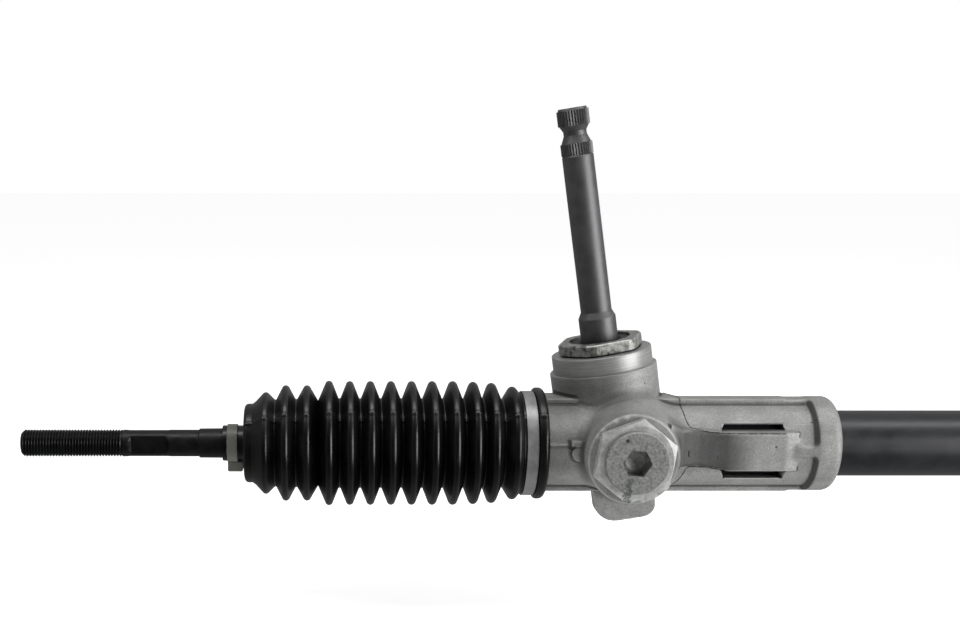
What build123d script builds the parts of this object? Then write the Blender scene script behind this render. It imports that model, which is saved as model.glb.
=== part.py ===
from build123d import *
import math
import os

os.makedirs("parts", exist_ok=True)

# Millimetres. The rack slides along X, +X towards the tube. The yoke presses from -Y and the
# pinion stands at +Y, leaning in the XZ plane. The origin is on the rack's axis, opposite the yoke.

# Rack and pinion mesh
rack_bar_d = 25.0
rack_travel = 65.0  # each way from the centre
pinion_offset = 16.0  # rack axis to pinion axis
pinion_lean = 9.3  # degrees, top towards -X
pinion_teeth = 7
tooth_module = 2.0  # in the normal section
pressure_angle = 20.0
helix_angle = 16.0
profile_shift = 0.45  # shares of the module, as the three below
addendum = 0.9
root_gap = 0.2
tooth_backlash = 0.08
pinion_face = 34.0
toothed_length = 164.0

# Fits
running_gap = 0.03  # radial, for what turns or slides in its seat
soft_gap = 0.3  # a soft piece beside one that moves
bore_gap = 1.0  # radial, rack bar in the plain bore

# Along the rack
housing_left_x = -53.0
stop_gap = 1.0
washer_t = 1.5
washer_inset = 0.8  # washer's edge inside the socket's flats
ball_spacing = 640.0  # between the two inner ball centres
ball_r = 12.5
ball_seat_base = 0.9
socket_floor = 5.0
socket_body_r = 17.0
socket_flats = 32.0
socket_stud_r = 8.0
socket_stud_length = 20.0
socket_edge = 1.0
stud_gap = 3.0  # behind the stud, in the rack's end
seat_wall = 2.0
seat_edge = 7.0  # ball centre to the seat's open edge
mouth_distance = 10.0  # ball centre to the rolled mouth
mouth_rim = 2.2

# Housing casting
barrel_r = 21.5
spigot_r = 23.75
spigot_end_x = -35.4
spigot_chamfer = 1.0
collar_r = 24.45
collar_left_x = 94.5
collar_right_x = 109.5
collar_round = 4.5
rib_width = 10.0
rib_top_z = 24.6
rib_bottom_z = -24.0
rib_top_step_x = 83.6
rib_bottom_step_x = 87.4
rib_step = 0.5
web_thickness = 5.0
web_end_x = 32.0
web_back_y = 13.0
tower_r = 27.4
tower_ring_r = 25.5
tower_step = 37.7
tower_top = 46.6
tower_foot = 15.5
lug_width = 32.0
lug_front = 16.5  # pinion axis to the flat front face
lug_cheek = 2.5
lug_back_r = 14.0
lug_bottom = -42.2
lug_corner_left = 11.5
lug_corner_right = 7.2
boss_base_r = 24.8
boss_front_r = 22.6
boss_front_y = 38.4
boss_edge = 0.8
arm_start_x = 18.0
arm_start_y = 36.0
arm_root_z = (15.5, -6.0)
arm_waist_x = 36.0
arm_waist_z = (12.3, -6.4)
arm_flat_x = 52.0
arm_flat_y = 22.6
arm_end_x = 84.6
arm_half_z = 9.9
arm_bend = (10.0, 2.0, 18.0)  # how far the sweep's two handles reach
key_half_z = 2.6
window_x = (48.9, 78.3)
window_z = 11.8
window_height = 2.7
block_x = -22.0
block_width = 11.5
block_height = 12.4
block_corner = 3.0
block_reach = 1.4
seam_z = 3.4
seam_height = 2.0
seam_reach = 0.4
pad_sink = 4.0  # how deep the block and the seam are rooted in the barrel
bore_chamfer = 1.0
pinion_end_gap = 1.0
needle_throat = 4.0

# Tube and its bush
tube_r = 16.85
tube_wall = 2.2
tube_start_x = 45.0
bush_length = 30.0
bush_inset = 4.0

# Pinion shaft, heights measured along its axis from the rack's level
shaft_r = 7.9
shaft_top = 170.1
spline_r = 8.0
spline_teeth = 36
spline_depth = 0.55
top_chamfer = 1.2
upper_spline_length = 7.4
waist_length = 8.8
waist_flat = 2.0
waist_rise = 0.57  # share of the waist's length below its middle
lower_spline_length = 5.8
waist_r = 5.8
seal_journal_r = 9.5
seal_journal_top = 64.0
journal_chamfer = 3.2
bearing_journal_r = 10.0
bar_chamfer = 1.0
shoulder_r = 11.6
relief_r = 7.4
relief_length = 2.0
shoulder_width = 2.0
lower_journal_r = 6.0
lower_journal_edge = 0.8
foot_gap = 1.0  # shaft's foot above the bottom of its bore
spline_runout = 0.6
pinion_core = 0.5  # shaft inside the tooth roots

# Pinion ball bearing
bearing_bottom = 24.0
bearing_width = 9.0
bearing_r = 18.5
bearing_ball_r = 2.4
bearing_ball_count = 11
ring_gap = 3.4  # between the two rings' faces
circlip_t = 1.2
circlip_groove = 0.8
circlip_rim = 2.4
circlip_opening = 3.0

# Pinion needle bearing
needle_bottom = -38.0
needle_width = 12.0
needle_cup_r = 9.0
needle_cup_wall = 0.9
needle_count = 13

# Pinion nut and seal
nut_thread_r = 20.0
nut_bottom = 47.4
nut_top = 52.9
nut_flats = 40.0
nut_corner_r = 21.7
nut_turn = 8.0  # degrees
nut_chamfer = 0.6
nut_skirt_wall = 3.6
seal_r = 15.6
seal_height = 6.5
seal_recess = 1.0
seal_wall = 1.4

# Yoke, its spring and plug, distances out from the rack's axis
yoke_r = 15.0
yoke_horn_y = 4.0
yoke_back_y = 30.0
liner_t = 0.8
liner_half_width = 10.0
o_ring_r = 1.2
o_ring_y = 25.5
spring_r = 5.6
spring_wire_r = 1.1
spring_turns = 4
spring_pocket_r = 7.2
o_ring_slack = 1.2  # groove width over the ring's own
yoke_pocket_depth = 7.0
plug_r = 15.6
plug_chamfer = 0.6
plug_back_y = 32.5
plug_front_y = 46.8
plug_pocket_depth = 2.5
hex_flats = 12.6
hex_depth = 6.5
hex_turn = -4.0  # degrees
drill_r = 4.6
drill_depth = 2.0
lock_nut_flats = 37.0
lock_nut_height = 5.6
lock_nut_turn = 21.0  # degrees
lock_nut_bevel = (1.6, 0.3)  # how far the turned corners fall back, and the rim beside the flats

# Boots
boot_pitch = 10.57
boot_crests = 8  # full-size crests
boot_crest_r = 31.8
boot_valley_r = 22.0
boot_crest_flat = 1.6
boot_wall = 1.15
boot_lip_edge = 0.6
boot_face_land = 2.0
boot_first_crest_x = -148.6
boot_small_crests = ((-160.05, 29.5), (-170.9, 29.7), (-181.2, 26.3))
boot_last_crests = ((-54.9, 29.3), (-65.5, 31.2))
boot_shoulder_r = 20.4
boot_face_x = -192.0
boot_corner = 2.5
boot_neck_r = 8.7
boot_neck_gap_x = (-200.8, -195.6)
boot_lip_x = -204.9
boot_lip_r = 9.15
boot_seat_wall = 2.3
boot_seat_x = (-51.2, -43.4)
boot_bead = 2.6
boot_bead_edge = 1.6
boot_end_x = -35.6
band_t = 0.7
band_gap = 0.1
band_width = 5.6
band_ear = (9.0, 4.0)
clip_t = 0.85
clip_head = (7.7, 7.0, 5.1)
clip_edge = 1.0

# Tie rods
rod_neck_r = 6.5
rod_r = 7.65
rod_neck_end_x = -163.0
rod_shank_end_x = -203.0
rod_step_x = -216.6
rod_step_r = 7.55
rod_slim_r = 6.9
flats_x = (-253.6, -232.8)
flats_r = 6.75
flats_across = 11.0
flats_runout = 1.5
thread_r = 7.0
thread_start_x = -255.5
rod_tip_x = -307.0
thread_chamfer = 1.5
rod_neck_flare = 2.0
rod_edge = 0.5
tab_width = 5.0
tab_length = 5.0
tab_t = 1.5

# Worked out from the sizes above
lean = math.radians(pinion_lean)
helix = math.radians(helix_angle)
tooth_slant = helix - lean
rack_bar_r = rack_bar_d / 2
tube_bore_r = tube_r - tube_wall
normal_pitch = math.pi * tooth_module
rack_pitch = normal_pitch / math.cos(tooth_slant)
pitch_r = pinion_teeth * tooth_module / 2 / math.cos(helix)
normal_pressure = math.radians(pressure_angle)
face_pressure = math.atan(math.tan(normal_pressure) / math.cos(helix))
base_r = pitch_r * math.cos(face_pressure)
reference_r = pitch_r + profile_shift * tooth_module
pinion_tip_r = reference_r + addendum * tooth_module
reference_y = pinion_offset - reference_r
rack_land_y = reference_y + addendum * tooth_module
rack_root_y = pinion_offset - pinion_tip_r - root_gap * tooth_module
pinion_root_r = pinion_offset - rack_land_y - root_gap * tooth_module
rack_end_x = housing_left_x - rack_travel - stop_gap
socket_face_x = rack_end_x - washer_t
ball_x = socket_face_x - socket_floor - ball_seat_base - ball_r
mid_x = ball_x + ball_spacing / 2
tube_end_x = 2 * mid_x - housing_left_x
bearing_top = bearing_bottom + bearing_width
upper_spline = (shaft_top - top_chamfer - upper_spline_length, shaft_top - top_chamfer)
lower_spline_top = upper_spline[0] - waist_length
lower_spline = (lower_spline_top - lower_spline_length, lower_spline_top)
waist_height = lower_spline_top + waist_length * waist_rise
liner_r = rack_bar_r + running_gap
yoke_saddle_r = liner_r + liner_t
mid_plane = Plane.YZ.offset(mid_x)
pinion_bore_r = shoulder_r + bore_gap
yoke_bore_r = yoke_r + running_gap
seat_outer_r = ball_r + seat_wall
mouth_r = math.sqrt(seat_outer_r**2 - mouth_distance**2)

pinion_up = Vector(-math.sin(lean), 0, math.cos(lean))
pinion_side = Vector(math.cos(lean), 0, math.sin(lean))
pinion_foot = Vector(0, pinion_offset, 0)
pinion_axis = Axis(pinion_foot, pinion_up)
pinion_section = Plane(pinion_foot, x_dir=pinion_side, z_dir=pinion_side.cross(pinion_up))
pinion_level = Plane(pinion_foot, x_dir=pinion_side, z_dir=pinion_up)
yoke_axis = Axis((0, 0, 0), (0, -1, 0))
yoke_section = Plane((0, 0, 0), x_dir=(1, 0, 0), z_dir=(0, 0, -1))
yoke_level = Plane((0, 0, 0), x_dir=(1, 0, 0), z_dir=(0, -1, 0))
tooth_plane = Plane(
    (0, 0, 0),
    x_dir=(math.cos(tooth_slant), 0, -math.sin(tooth_slant)),
    z_dir=(math.sin(tooth_slant), 0, math.cos(tooth_slant)),
)


def outline(plane, points):
    with BuildSketch(plane) as profile:
        with BuildLine():
            Polyline(*points, close=True)
        make_face()
    return profile.sketch


def ring(plane, inner, outer, low, high):
    return outline(plane, [(inner, low), (outer, low), (outer, high), (inner, high)])


def involute(angle):
    return math.tan(angle) - angle


def save(piece, name):
    piece.label = name
    export_step(piece, f"parts/{name}.step")


# Housing: one casting with the barrel, the pinion tower and lug, the yoke boss and the collar
barrel_outline = [
    (housing_left_x, 0),
    (housing_left_x, spigot_r - spigot_chamfer),
    (housing_left_x + spigot_chamfer, spigot_r),
    (spigot_end_x - spigot_chamfer, spigot_r),
    (spigot_end_x, spigot_r - spigot_chamfer),
    (spigot_end_x, barrel_r),
    (collar_left_x, barrel_r),
    (collar_left_x, collar_r),
    (collar_right_x, collar_r),
    (collar_right_x, 0),
]
tower_outline = [
    (0, 0),
    (tower_r, tower_foot),
    (tower_r, tower_step),
    (tower_ring_r, tower_step),
    (tower_ring_r, tower_top),
    (0, tower_top),
]
boss_outline = [
    (0, 0),
    (boss_base_r, 0),
    (boss_front_r, boss_front_y - boss_edge),
    (boss_front_r - boss_edge, boss_front_y),
    (0, boss_front_y),
]
rib_outline = [
    (spigot_end_x, rib_bottom_z),
    (rib_bottom_step_x, rib_bottom_z),
    (rib_bottom_step_x, rib_bottom_z + rib_step),
    (collar_left_x + rib_step, rib_bottom_z + rib_step),
    (collar_left_x + rib_step, rib_top_z - rib_step),
    (rib_top_step_x, rib_top_z - rib_step),
    (rib_top_step_x, rib_top_z),
    (spigot_end_x, rib_top_z),
]
arm_outline = [
    (arm_start_x, arm_root_z[0]),
    (arm_waist_x, arm_waist_z[0]),
    (arm_flat_x, arm_half_z),
    (arm_end_x, arm_half_z),
    (arm_end_x, key_half_z),
    (collar_left_x + rib_step, key_half_z),
    (collar_left_x + rib_step, -key_half_z),
    (arm_end_x, -key_half_z),
    (arm_end_x, -arm_half_z),
    (arm_flat_x, -arm_half_z),
    (arm_waist_x, arm_waist_z[1]),
    (arm_start_x, arm_root_z[1]),
]

# the arm from the yoke boss to the collar, hollow-swept in plan and narrowing in front view
with BuildPart() as arm:
    with BuildSketch(Plane.XY.offset(-arm_root_z[0])):
        with BuildLine():
            sweep_in = Bezier(
                (arm_start_x, -arm_start_y),
                (arm_start_x + arm_bend[0], -arm_flat_y - arm_bend[1]),
                (arm_flat_x - arm_bend[2], -arm_flat_y),
                (arm_flat_x, -arm_flat_y),
            )
            Polyline(
                sweep_in @ 1,
                (collar_left_x + rib_step, -arm_flat_y),
                (collar_left_x + rib_step, 0),
                (arm_start_x, 0),
                sweep_in @ 0,
            )
        make_face()
    extrude(amount=2 * arm_root_z[0])
    extrude(outline(Plane.XZ, arm_outline), amount=2 * arm_start_y, both=True, mode=Mode.INTERSECT)

# the lug round the pinion's foot, flat in front and round behind
with BuildPart() as lug:
    with BuildSketch(pinion_level.offset(lug_bottom)):
        with BuildLine():
            Polyline(
                (-lug_back_r, 0),
                (-lug_width / 2, lug_cheek - lug_front),
                (-lug_width / 2, -lug_front),
                (lug_width / 2, -lug_front),
                (lug_width / 2, lug_cheek - lug_front),
                (lug_back_r, 0),
            )
            ThreePointArc((lug_back_r, 0), (0, lug_back_r), (-lug_back_r, 0))
        make_face()
    extrude(amount=tower_foot - lug_bottom)
    foot = lug.faces().sort_by(pinion_axis)[0]
    foot_left, foot_right = foot.edges().filter_by(Axis.Y).sort_by(Axis.X)
    fillet(foot_left, lug_corner_left)
    fillet(foot_right, lug_corner_right)

with BuildPart() as housing:
    revolve(outline(Plane.XZ, barrel_outline), axis=Axis.X)
    fillet(housing.edges().filter_by(GeomType.CIRCLE).sort_by(Axis.X)[-1], collar_round)
    revolve(outline(pinion_section, tower_outline), axis=pinion_axis)
    revolve(outline(yoke_section, boss_outline), axis=yoke_axis)
    add(lug.part)
    extrude(outline(Plane.XZ, rib_outline), amount=rib_width / 2, both=True)
    with BuildSketch(Plane.XY.offset(rib_top_z)):
        with BuildLine():
            Polyline(
                (spigot_end_x, -rib_width / 2),
                (web_end_x, -rib_width / 2),
                (web_end_x - web_back_y / 2, web_back_y),
                (spigot_end_x, web_back_y),
                close=True,
            )
        make_face()
    extrude(amount=-web_thickness)
    add(arm.part)
    with BuildSketch(Plane.XZ.offset(barrel_r - pad_sink)):
        with Locations((block_x, 0)):
            RectangleRounded(block_width, block_height, block_corner)
    extrude(amount=pad_sink + block_reach)
    with BuildSketch(Plane.XZ.offset(barrel_r - pad_sink)):
        with Locations(((spigot_end_x + block_x) / 2, seam_z)):
            Rectangle(block_x - spigot_end_x, seam_height)
    extrude(amount=pad_sink + seam_reach)

    # windows beside the arm, down to the tube
    with BuildSketch(Plane.XZ.offset(tube_bore_r / 2)):
        with Locations(((window_x[0] + window_x[1]) / 2, 0)):
            with GridLocations(0, 2 * window_z, 1, 2):
                Rectangle(window_x[1] - window_x[0], window_height)
    extrude(amount=barrel_r, mode=Mode.SUBTRACT)

    # bores for the rack, the tube, the pinion with its bearings and nut, and the yoke with its plug
    bore_r = rack_bar_r + bore_gap
    rack_bores = [
        (housing_left_x, 0),
        (housing_left_x, bore_r + bore_chamfer),
        (housing_left_x + bore_chamfer, bore_r),
        (tube_start_x, bore_r),
        (tube_start_x, tube_r),
        (collar_right_x, tube_r),
        (collar_right_x, 0),
    ]
    revolve(outline(Plane.XZ, rack_bores), axis=Axis.X, mode=Mode.SUBTRACT)
    pinion_bores = [
        (0, needle_bottom),
        (needle_cup_r, needle_bottom),
        (needle_cup_r, -pinion_face / 2 - pinion_end_gap - needle_throat),
        (pinion_bore_r, -pinion_face / 2 - pinion_end_gap),
        (pinion_bore_r, bearing_bottom),
        (bearing_r, bearing_bottom),
        (bearing_r, bearing_top),
        (nut_thread_r, bearing_top),
        (nut_thread_r, tower_top),
        (0, tower_top),
    ]
    revolve(outline(pinion_section, pinion_bores), axis=pinion_axis, mode=Mode.SUBTRACT)
    yoke_bores = [
        (0, 0),
        (yoke_bore_r, 0),
        (yoke_bore_r, plug_back_y),
        (plug_r, plug_back_y),
        (plug_r, boss_front_y),
        (0, boss_front_y),
    ]
    revolve(outline(yoke_section, yoke_bores), axis=yoke_axis, mode=Mode.SUBTRACT)
save(housing.part, "housing")

# Tube, pressed into the collar, and the bush that carries the rack at its far end
with BuildPart() as rack_tube:
    revolve(outline(Plane.XZ, [
        (tube_start_x, tube_bore_r),
        (tube_end_x, tube_bore_r),
        (tube_end_x, tube_r),
        (tube_start_x, tube_r),
    ]), axis=Axis.X)
save(rack_tube.part, "rack_tube")

bush_end_x = tube_end_x - bush_inset
bush_r = rack_bar_r + running_gap
with BuildPart() as rack_bush:
    revolve(outline(Plane.XZ, [
        (bush_end_x - bush_length, bush_r),
        (bush_end_x, bush_r),
        (bush_end_x, tube_bore_r),
        (bush_end_x - bush_length, tube_bore_r),
    ]), axis=Axis.X)
save(rack_bush.part, "rack_bush")

# Pinion ball bearing: two rings with a race, and the balls between them
race_r = (bearing_r + bearing_journal_r) / 2
race_level = bearing_bottom + bearing_width / 2
outer_ring_r = race_r + ring_gap / 2
inner_ring_r = race_r - ring_gap / 2
for name, inner, outer in (
    ("bearing_outer_ring", outer_ring_r, bearing_r),
    ("bearing_inner_ring", bearing_journal_r, inner_ring_r),
):
    with BuildPart() as bearing_ring:
        revolve(ring(pinion_section, inner, outer, bearing_bottom, bearing_top), axis=pinion_axis)
        with BuildSketch(pinion_section):
            with Locations((race_r, race_level)):
                Circle(bearing_ball_r + running_gap)
        revolve(axis=pinion_axis, mode=Mode.SUBTRACT)
    save(bearing_ring.part, name)

with BuildPart(pinion_level.offset(race_level)) as bearing_balls:
    with PolarLocations(race_r, bearing_ball_count):
        Sphere(bearing_ball_r)
save(bearing_balls.part, "bearing_balls")

with BuildPart() as circlip:
    revolve(
        ring(
            pinion_section,
            bearing_journal_r - circlip_groove,
            bearing_journal_r + circlip_rim,
            bearing_top,
            bearing_top + circlip_t,
        ),
        axis=pinion_axis,
    )
    with BuildSketch(pinion_level.offset(bearing_top)):
        with Locations((bearing_journal_r + circlip_rim, 0)):
            Rectangle(3 * circlip_rim + circlip_groove, circlip_opening)
    extrude(amount=circlip_t, mode=Mode.SUBTRACT)
save(circlip.part, "pinion_circlip")

# Needle bearing in the foot of the well: drawn cup with needles
needle_r = (needle_cup_r - needle_cup_wall - lower_journal_r - running_gap) / 2
with BuildPart() as needle_cup:
    revolve(outline(pinion_section, [
        (needle_cup_r, needle_bottom),
        (needle_cup_r, needle_bottom + needle_width),
        (lower_journal_r + 4 * running_gap, needle_bottom + needle_width),
        (lower_journal_r + 4 * running_gap, needle_bottom + needle_width - needle_cup_wall),
        (needle_cup_r - needle_cup_wall, needle_bottom + needle_width - needle_cup_wall),
        (needle_cup_r - needle_cup_wall, needle_bottom + needle_cup_wall),
        (lower_journal_r + 4 * running_gap, needle_bottom + needle_cup_wall),
        (lower_journal_r + 4 * running_gap, needle_bottom),
    ]), axis=pinion_axis)
save(needle_cup.part, "needle_cup")

with BuildPart() as needles:
    with BuildSketch(pinion_level.offset(needle_bottom + needle_cup_wall)):
        with PolarLocations(needle_cup_r - needle_cup_wall - needle_r, needle_count):
            Circle(needle_r)
    extrude(amount=needle_width - 2 * needle_cup_wall)
save(needles.part, "bearing_needles")

# Ring nut over the ball bearing, with the shaft seal in its mouth
seal_top = nut_top - seal_recess
seal_bottom = seal_top - seal_height
nut_bore_r = nut_thread_r - nut_skirt_wall
with BuildPart() as pinion_nut:
    with BuildSketch(pinion_level.offset(nut_bottom)):
        RegularPolygon(nut_flats / 2, 6, major_radius=False, rotation=nut_turn)
        Circle(nut_corner_r, mode=Mode.INTERSECT)
    extrude(amount=nut_top - nut_bottom)
    chamfer(pinion_nut.faces().sort_by(pinion_axis)[-1].edges(), nut_chamfer)
    revolve(ring(pinion_section, 0, nut_thread_r, bearing_top, nut_bottom), axis=pinion_axis)
    nut_bores = [
        (0, bearing_top),
        (nut_bore_r, bearing_top),
        (nut_bore_r, seal_bottom - 2 * seal_wall),
        (seal_r - seal_wall, seal_bottom - seal_wall),
        (seal_r - seal_wall, seal_bottom),
        (seal_r, seal_bottom),
        (seal_r, nut_top),
        (0, nut_top),
    ]
    revolve(outline(pinion_section, nut_bores), axis=pinion_axis, mode=Mode.SUBTRACT)
save(pinion_nut.part, "pinion_nut")

seal_lip_r = seal_journal_r + running_gap
with BuildPart() as pinion_seal:
    revolve(outline(pinion_section, [
        (seal_r, seal_bottom),
        (seal_r, seal_top),
        (seal_lip_r + seal_wall, seal_top),
        (seal_lip_r, seal_top - seal_wall),
        (seal_lip_r + seal_wall, seal_top - 2 * seal_wall),
        (seal_r - seal_wall, seal_top - seal_wall),
        (seal_r - seal_wall, seal_bottom),
    ]), axis=pinion_axis)
save(pinion_seal.part, "pinion_seal")

# Yoke, which holds the rack in mesh, with its liner, ring, spring, plug and lock nut
yoke_pocket_y = yoke_back_y - yoke_pocket_depth
groove_r = yoke_bore_r - 2 * o_ring_r
with BuildPart() as yoke:
    revolve(ring(yoke_section, 0, yoke_r, yoke_horn_y, yoke_back_y), axis=yoke_axis)
    with BuildSketch(Plane.YZ):
        Circle(yoke_saddle_r)
    extrude(amount=yoke_r, both=True, mode=Mode.SUBTRACT)
    pocket = ring(yoke_section, 0, spring_pocket_r, yoke_pocket_y, yoke_back_y)
    revolve(pocket, axis=yoke_axis, mode=Mode.SUBTRACT)
    groove_half = o_ring_slack * o_ring_r
    groove = ring(yoke_section, groove_r, yoke_r, o_ring_y - groove_half, o_ring_y + groove_half)
    revolve(groove, axis=yoke_axis, mode=Mode.SUBTRACT)
save(yoke.part, "yoke")

with BuildPart() as yoke_liner:
    with BuildSketch(Plane.YZ):
        Circle(yoke_saddle_r)
        Circle(liner_r, mode=Mode.SUBTRACT)
    extrude(amount=liner_half_width, both=True)
    revolve(
        ring(yoke_section, 0, yoke_r - soft_gap, yoke_horn_y, yoke_back_y),
        axis=yoke_axis,
        mode=Mode.INTERSECT,
    )
save(yoke_liner.part, "yoke_liner")

with BuildPart() as yoke_o_ring:
    with BuildSketch(yoke_section):
        with Locations((yoke_bore_r - o_ring_r, o_ring_y)):
            Circle(o_ring_r)
    revolve(axis=yoke_axis)
save(yoke_o_ring.part, "yoke_o_ring")

spring_start_y = yoke_pocket_y + spring_wire_r
spring_rise = plug_back_y + plug_pocket_depth - spring_wire_r - spring_start_y
with BuildPart() as yoke_spring:
    with BuildLine() as spring_path:
        Helix(
            spring_rise / spring_turns,
            spring_rise,
            spring_r,
            center=(0, -spring_start_y, 0),
            direction=(0, -1, 0),
        )
    with BuildSketch(Plane(spring_path.line @ 0, z_dir=spring_path.line % 0)):
        Circle(spring_wire_r)
    sweep(path=spring_path.line, is_frenet=True)
save(yoke_spring.part, "yoke_spring")

hex_bottom_y = plug_front_y - hex_depth
with BuildPart() as yoke_plug:
    revolve(outline(yoke_section, [
        (0, plug_back_y + plug_pocket_depth),
        (spring_pocket_r, plug_back_y + plug_pocket_depth),
        (spring_pocket_r, plug_back_y),
        (plug_r, plug_back_y),
        (plug_r, plug_front_y - plug_chamfer),
        (plug_r - plug_chamfer, plug_front_y),
        (0, plug_front_y),
    ]), axis=yoke_axis)
    with BuildSketch(yoke_level.offset(hex_bottom_y)):
        RegularPolygon(hex_flats / 2, 6, major_radius=False, rotation=hex_turn)
    extrude(amount=hex_depth, mode=Mode.SUBTRACT)
    drill = [(0, hex_bottom_y - drill_depth), (drill_r, hex_bottom_y), (0, hex_bottom_y)]
    revolve(outline(yoke_section, drill), axis=yoke_axis, mode=Mode.SUBTRACT)
save(yoke_plug.part, "yoke_plug")

lock_nut_front_y = boss_front_y + lock_nut_height
lock_nut_corner_r = lock_nut_flats / math.sqrt(3)
with BuildPart() as yoke_lock_nut:
    with BuildSketch(yoke_level.offset(boss_front_y)):
        RegularPolygon(lock_nut_flats / 2, 6, major_radius=False, rotation=lock_nut_turn)
        Circle(plug_r, mode=Mode.SUBTRACT)
    extrude(amount=lock_nut_height)
    revolve(
        outline(yoke_section, [
            (0, boss_front_y),
            (lock_nut_corner_r, boss_front_y),
            (lock_nut_corner_r, lock_nut_front_y - lock_nut_bevel[0]),
            (lock_nut_flats / 2 - lock_nut_bevel[1], lock_nut_front_y),
            (0, lock_nut_front_y),
        ]),
        axis=yoke_axis,
        mode=Mode.INTERSECT,
    )
save(yoke_lock_nut.part, "yoke_lock_nut")

# Rack bar: straight teeth at the mesh's slant on a milled flat, with a stud bore at each end
gap_half = normal_pitch / 4
rise = math.tan(normal_pressure)
gap_top_y = rack_land_y + 1
gap_outline = [
    (-gap_half - (gap_top_y - reference_y) * rise, gap_top_y),
    (-gap_half + (reference_y - rack_root_y) * rise, rack_root_y),
    (gap_half - (reference_y - rack_root_y) * rise, rack_root_y),
    (gap_half + (gap_top_y - reference_y) * rise, gap_top_y),
]
gap_count = 2 * int(toothed_length / 2 / rack_pitch) + 1
gap_reach = rack_bar_r + toothed_length * abs(math.sin(tooth_slant))
with BuildPart() as rack_bar:
    with BuildSketch(Plane.YZ.offset(rack_end_x)):
        Circle(rack_bar_r)
    extrude(amount=2 * (mid_x - rack_end_x))
    chamfer(rack_bar.edges(), bar_chamfer)
    with BuildSketch(Plane.XY):
        with Locations((0, rack_bar_r + rack_land_y)):
            Rectangle(toothed_length + rack_pitch, 2 * rack_bar_r)
    extrude(amount=rack_bar_r, both=True, mode=Mode.SUBTRACT)
    with BuildSketch(tooth_plane):
        with GridLocations(normal_pitch, 0, gap_count, 1):
            Polygon(*gap_outline, align=None)
    extrude(amount=gap_reach, both=True, mode=Mode.SUBTRACT)
    for end_plane in (Plane.YZ.offset(rack_end_x), -Plane.YZ.offset(2 * mid_x - rack_end_x)):
        with BuildSketch(end_plane):
            Circle(socket_stud_r)
        extrude(amount=socket_stud_length + stud_gap, mode=Mode.SUBTRACT)
        with BuildSketch(end_plane):
            with GridLocations(2 * rack_bar_r - tab_t, 0, 2, 1):
                Rectangle(tab_t, tab_width)
        extrude(amount=tab_length, mode=Mode.SUBTRACT)
save(rack_bar.part, "rack_bar")

# Pinion shaft: helical involute teeth below, bearing and seal journals, long shank, serrated end
tooth_thickness = (
    normal_pitch / 2 / math.cos(helix)
    + 2 * profile_shift * tooth_module * math.tan(face_pressure)
    - tooth_backlash
)
pitch_half_angle = tooth_thickness / 2 / pitch_r + involute(face_pressure)
twist = math.degrees(pinion_face * math.tan(helix) / pitch_r)


def flank_half_angle(radius):
    return pitch_half_angle - involute(math.acos(min(1, base_r / radius)))


def polar(radius, angle):
    return (radius * math.cos(angle), radius * math.sin(angle))


flank_steps = 5
flank_radii = [
    base_r + (pinion_tip_r - base_r) * (step / flank_steps) ** 1.5
    for step in range(flank_steps + 1)
]
tooth_turn = 2 * math.pi / pinion_teeth
with BuildSketch(Plane.XY) as tooth_section:
    with BuildLine():
        for tooth in range(pinion_teeth):
            middle = -math.pi / 2 - math.radians(twist) / 2 + tooth * tooth_turn
            start = flank_half_angle(base_r)
            rising = [polar(r, middle - flank_half_angle(r)) for r in flank_radii]
            falling = [polar(r, middle + flank_half_angle(r)) for r in reversed(flank_radii)]
            Line(polar(pinion_root_r, middle - start), rising[0])
            Spline(*rising)
            ThreePointArc(rising[-1], polar(pinion_tip_r, middle), falling[0])
            Spline(*falling)
            Line(falling[-1], polar(pinion_root_r, middle + start))
            ThreePointArc(
                polar(pinion_root_r, middle + start),
                polar(pinion_root_r, middle + tooth_turn / 2),
                polar(pinion_root_r, middle + tooth_turn - start),
            )
    make_face()

serration = []
for ridge in range(spline_teeth):
    serration.append(polar(spline_r, 2 * math.pi * ridge / spline_teeth))
    serration.append(polar(spline_r - spline_depth, 2 * math.pi * (ridge + 0.5) / spline_teeth))

shaft_outline = [
    (0, needle_bottom + foot_gap),
    (lower_journal_r - lower_journal_edge, needle_bottom + foot_gap),
    (lower_journal_r, needle_bottom + foot_gap + lower_journal_edge),
    (lower_journal_r, -pinion_face / 2),
    (pinion_root_r - pinion_core, -pinion_face / 2),
    (pinion_root_r - pinion_core, pinion_face / 2),
    (relief_r, pinion_face / 2),
    (relief_r, pinion_face / 2 + relief_length),
    (shoulder_r, bearing_bottom - shoulder_width),
    (shoulder_r, bearing_bottom),
    (bearing_journal_r, bearing_bottom),
    (bearing_journal_r, bearing_top),
    (bearing_journal_r - circlip_groove, bearing_top),
    (bearing_journal_r - circlip_groove, bearing_top + circlip_t),
    (bearing_journal_r, bearing_top + circlip_t),
    (bearing_journal_r, bearing_top + 2 * circlip_t),
    (seal_journal_r, bearing_top + 2.5 * circlip_t),
    (seal_journal_r, seal_journal_top),
    (shaft_r, seal_journal_top + journal_chamfer),
    (shaft_r, lower_spline[0] - spline_runout),
    (spline_r - spline_depth, lower_spline[0]),
    (spline_r - spline_depth, lower_spline[1]),
    (waist_r, waist_height - waist_flat / 2),
    (waist_r, waist_height + waist_flat / 2),
    (spline_r - spline_depth, upper_spline[0]),
    (spline_r - spline_depth, upper_spline[1]),
    (spline_r - 2 * spline_depth, shaft_top),
    (0, shaft_top),
]
toothed = Solid.extrude_linear_with_rotation(
    tooth_section.sketch.faces()[0], (0, 0, 0), (0, 0, pinion_face), twist
)
with BuildPart() as pinion_shaft:
    revolve(outline(pinion_section, shaft_outline), axis=pinion_axis)
    add(pinion_level.offset(-pinion_face / 2).location * toothed)
    for low, high in (lower_spline, upper_spline):
        with BuildSketch(pinion_level.offset(low)):
            Polygon(*serration, align=None)
        extrude(amount=high - low)
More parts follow.
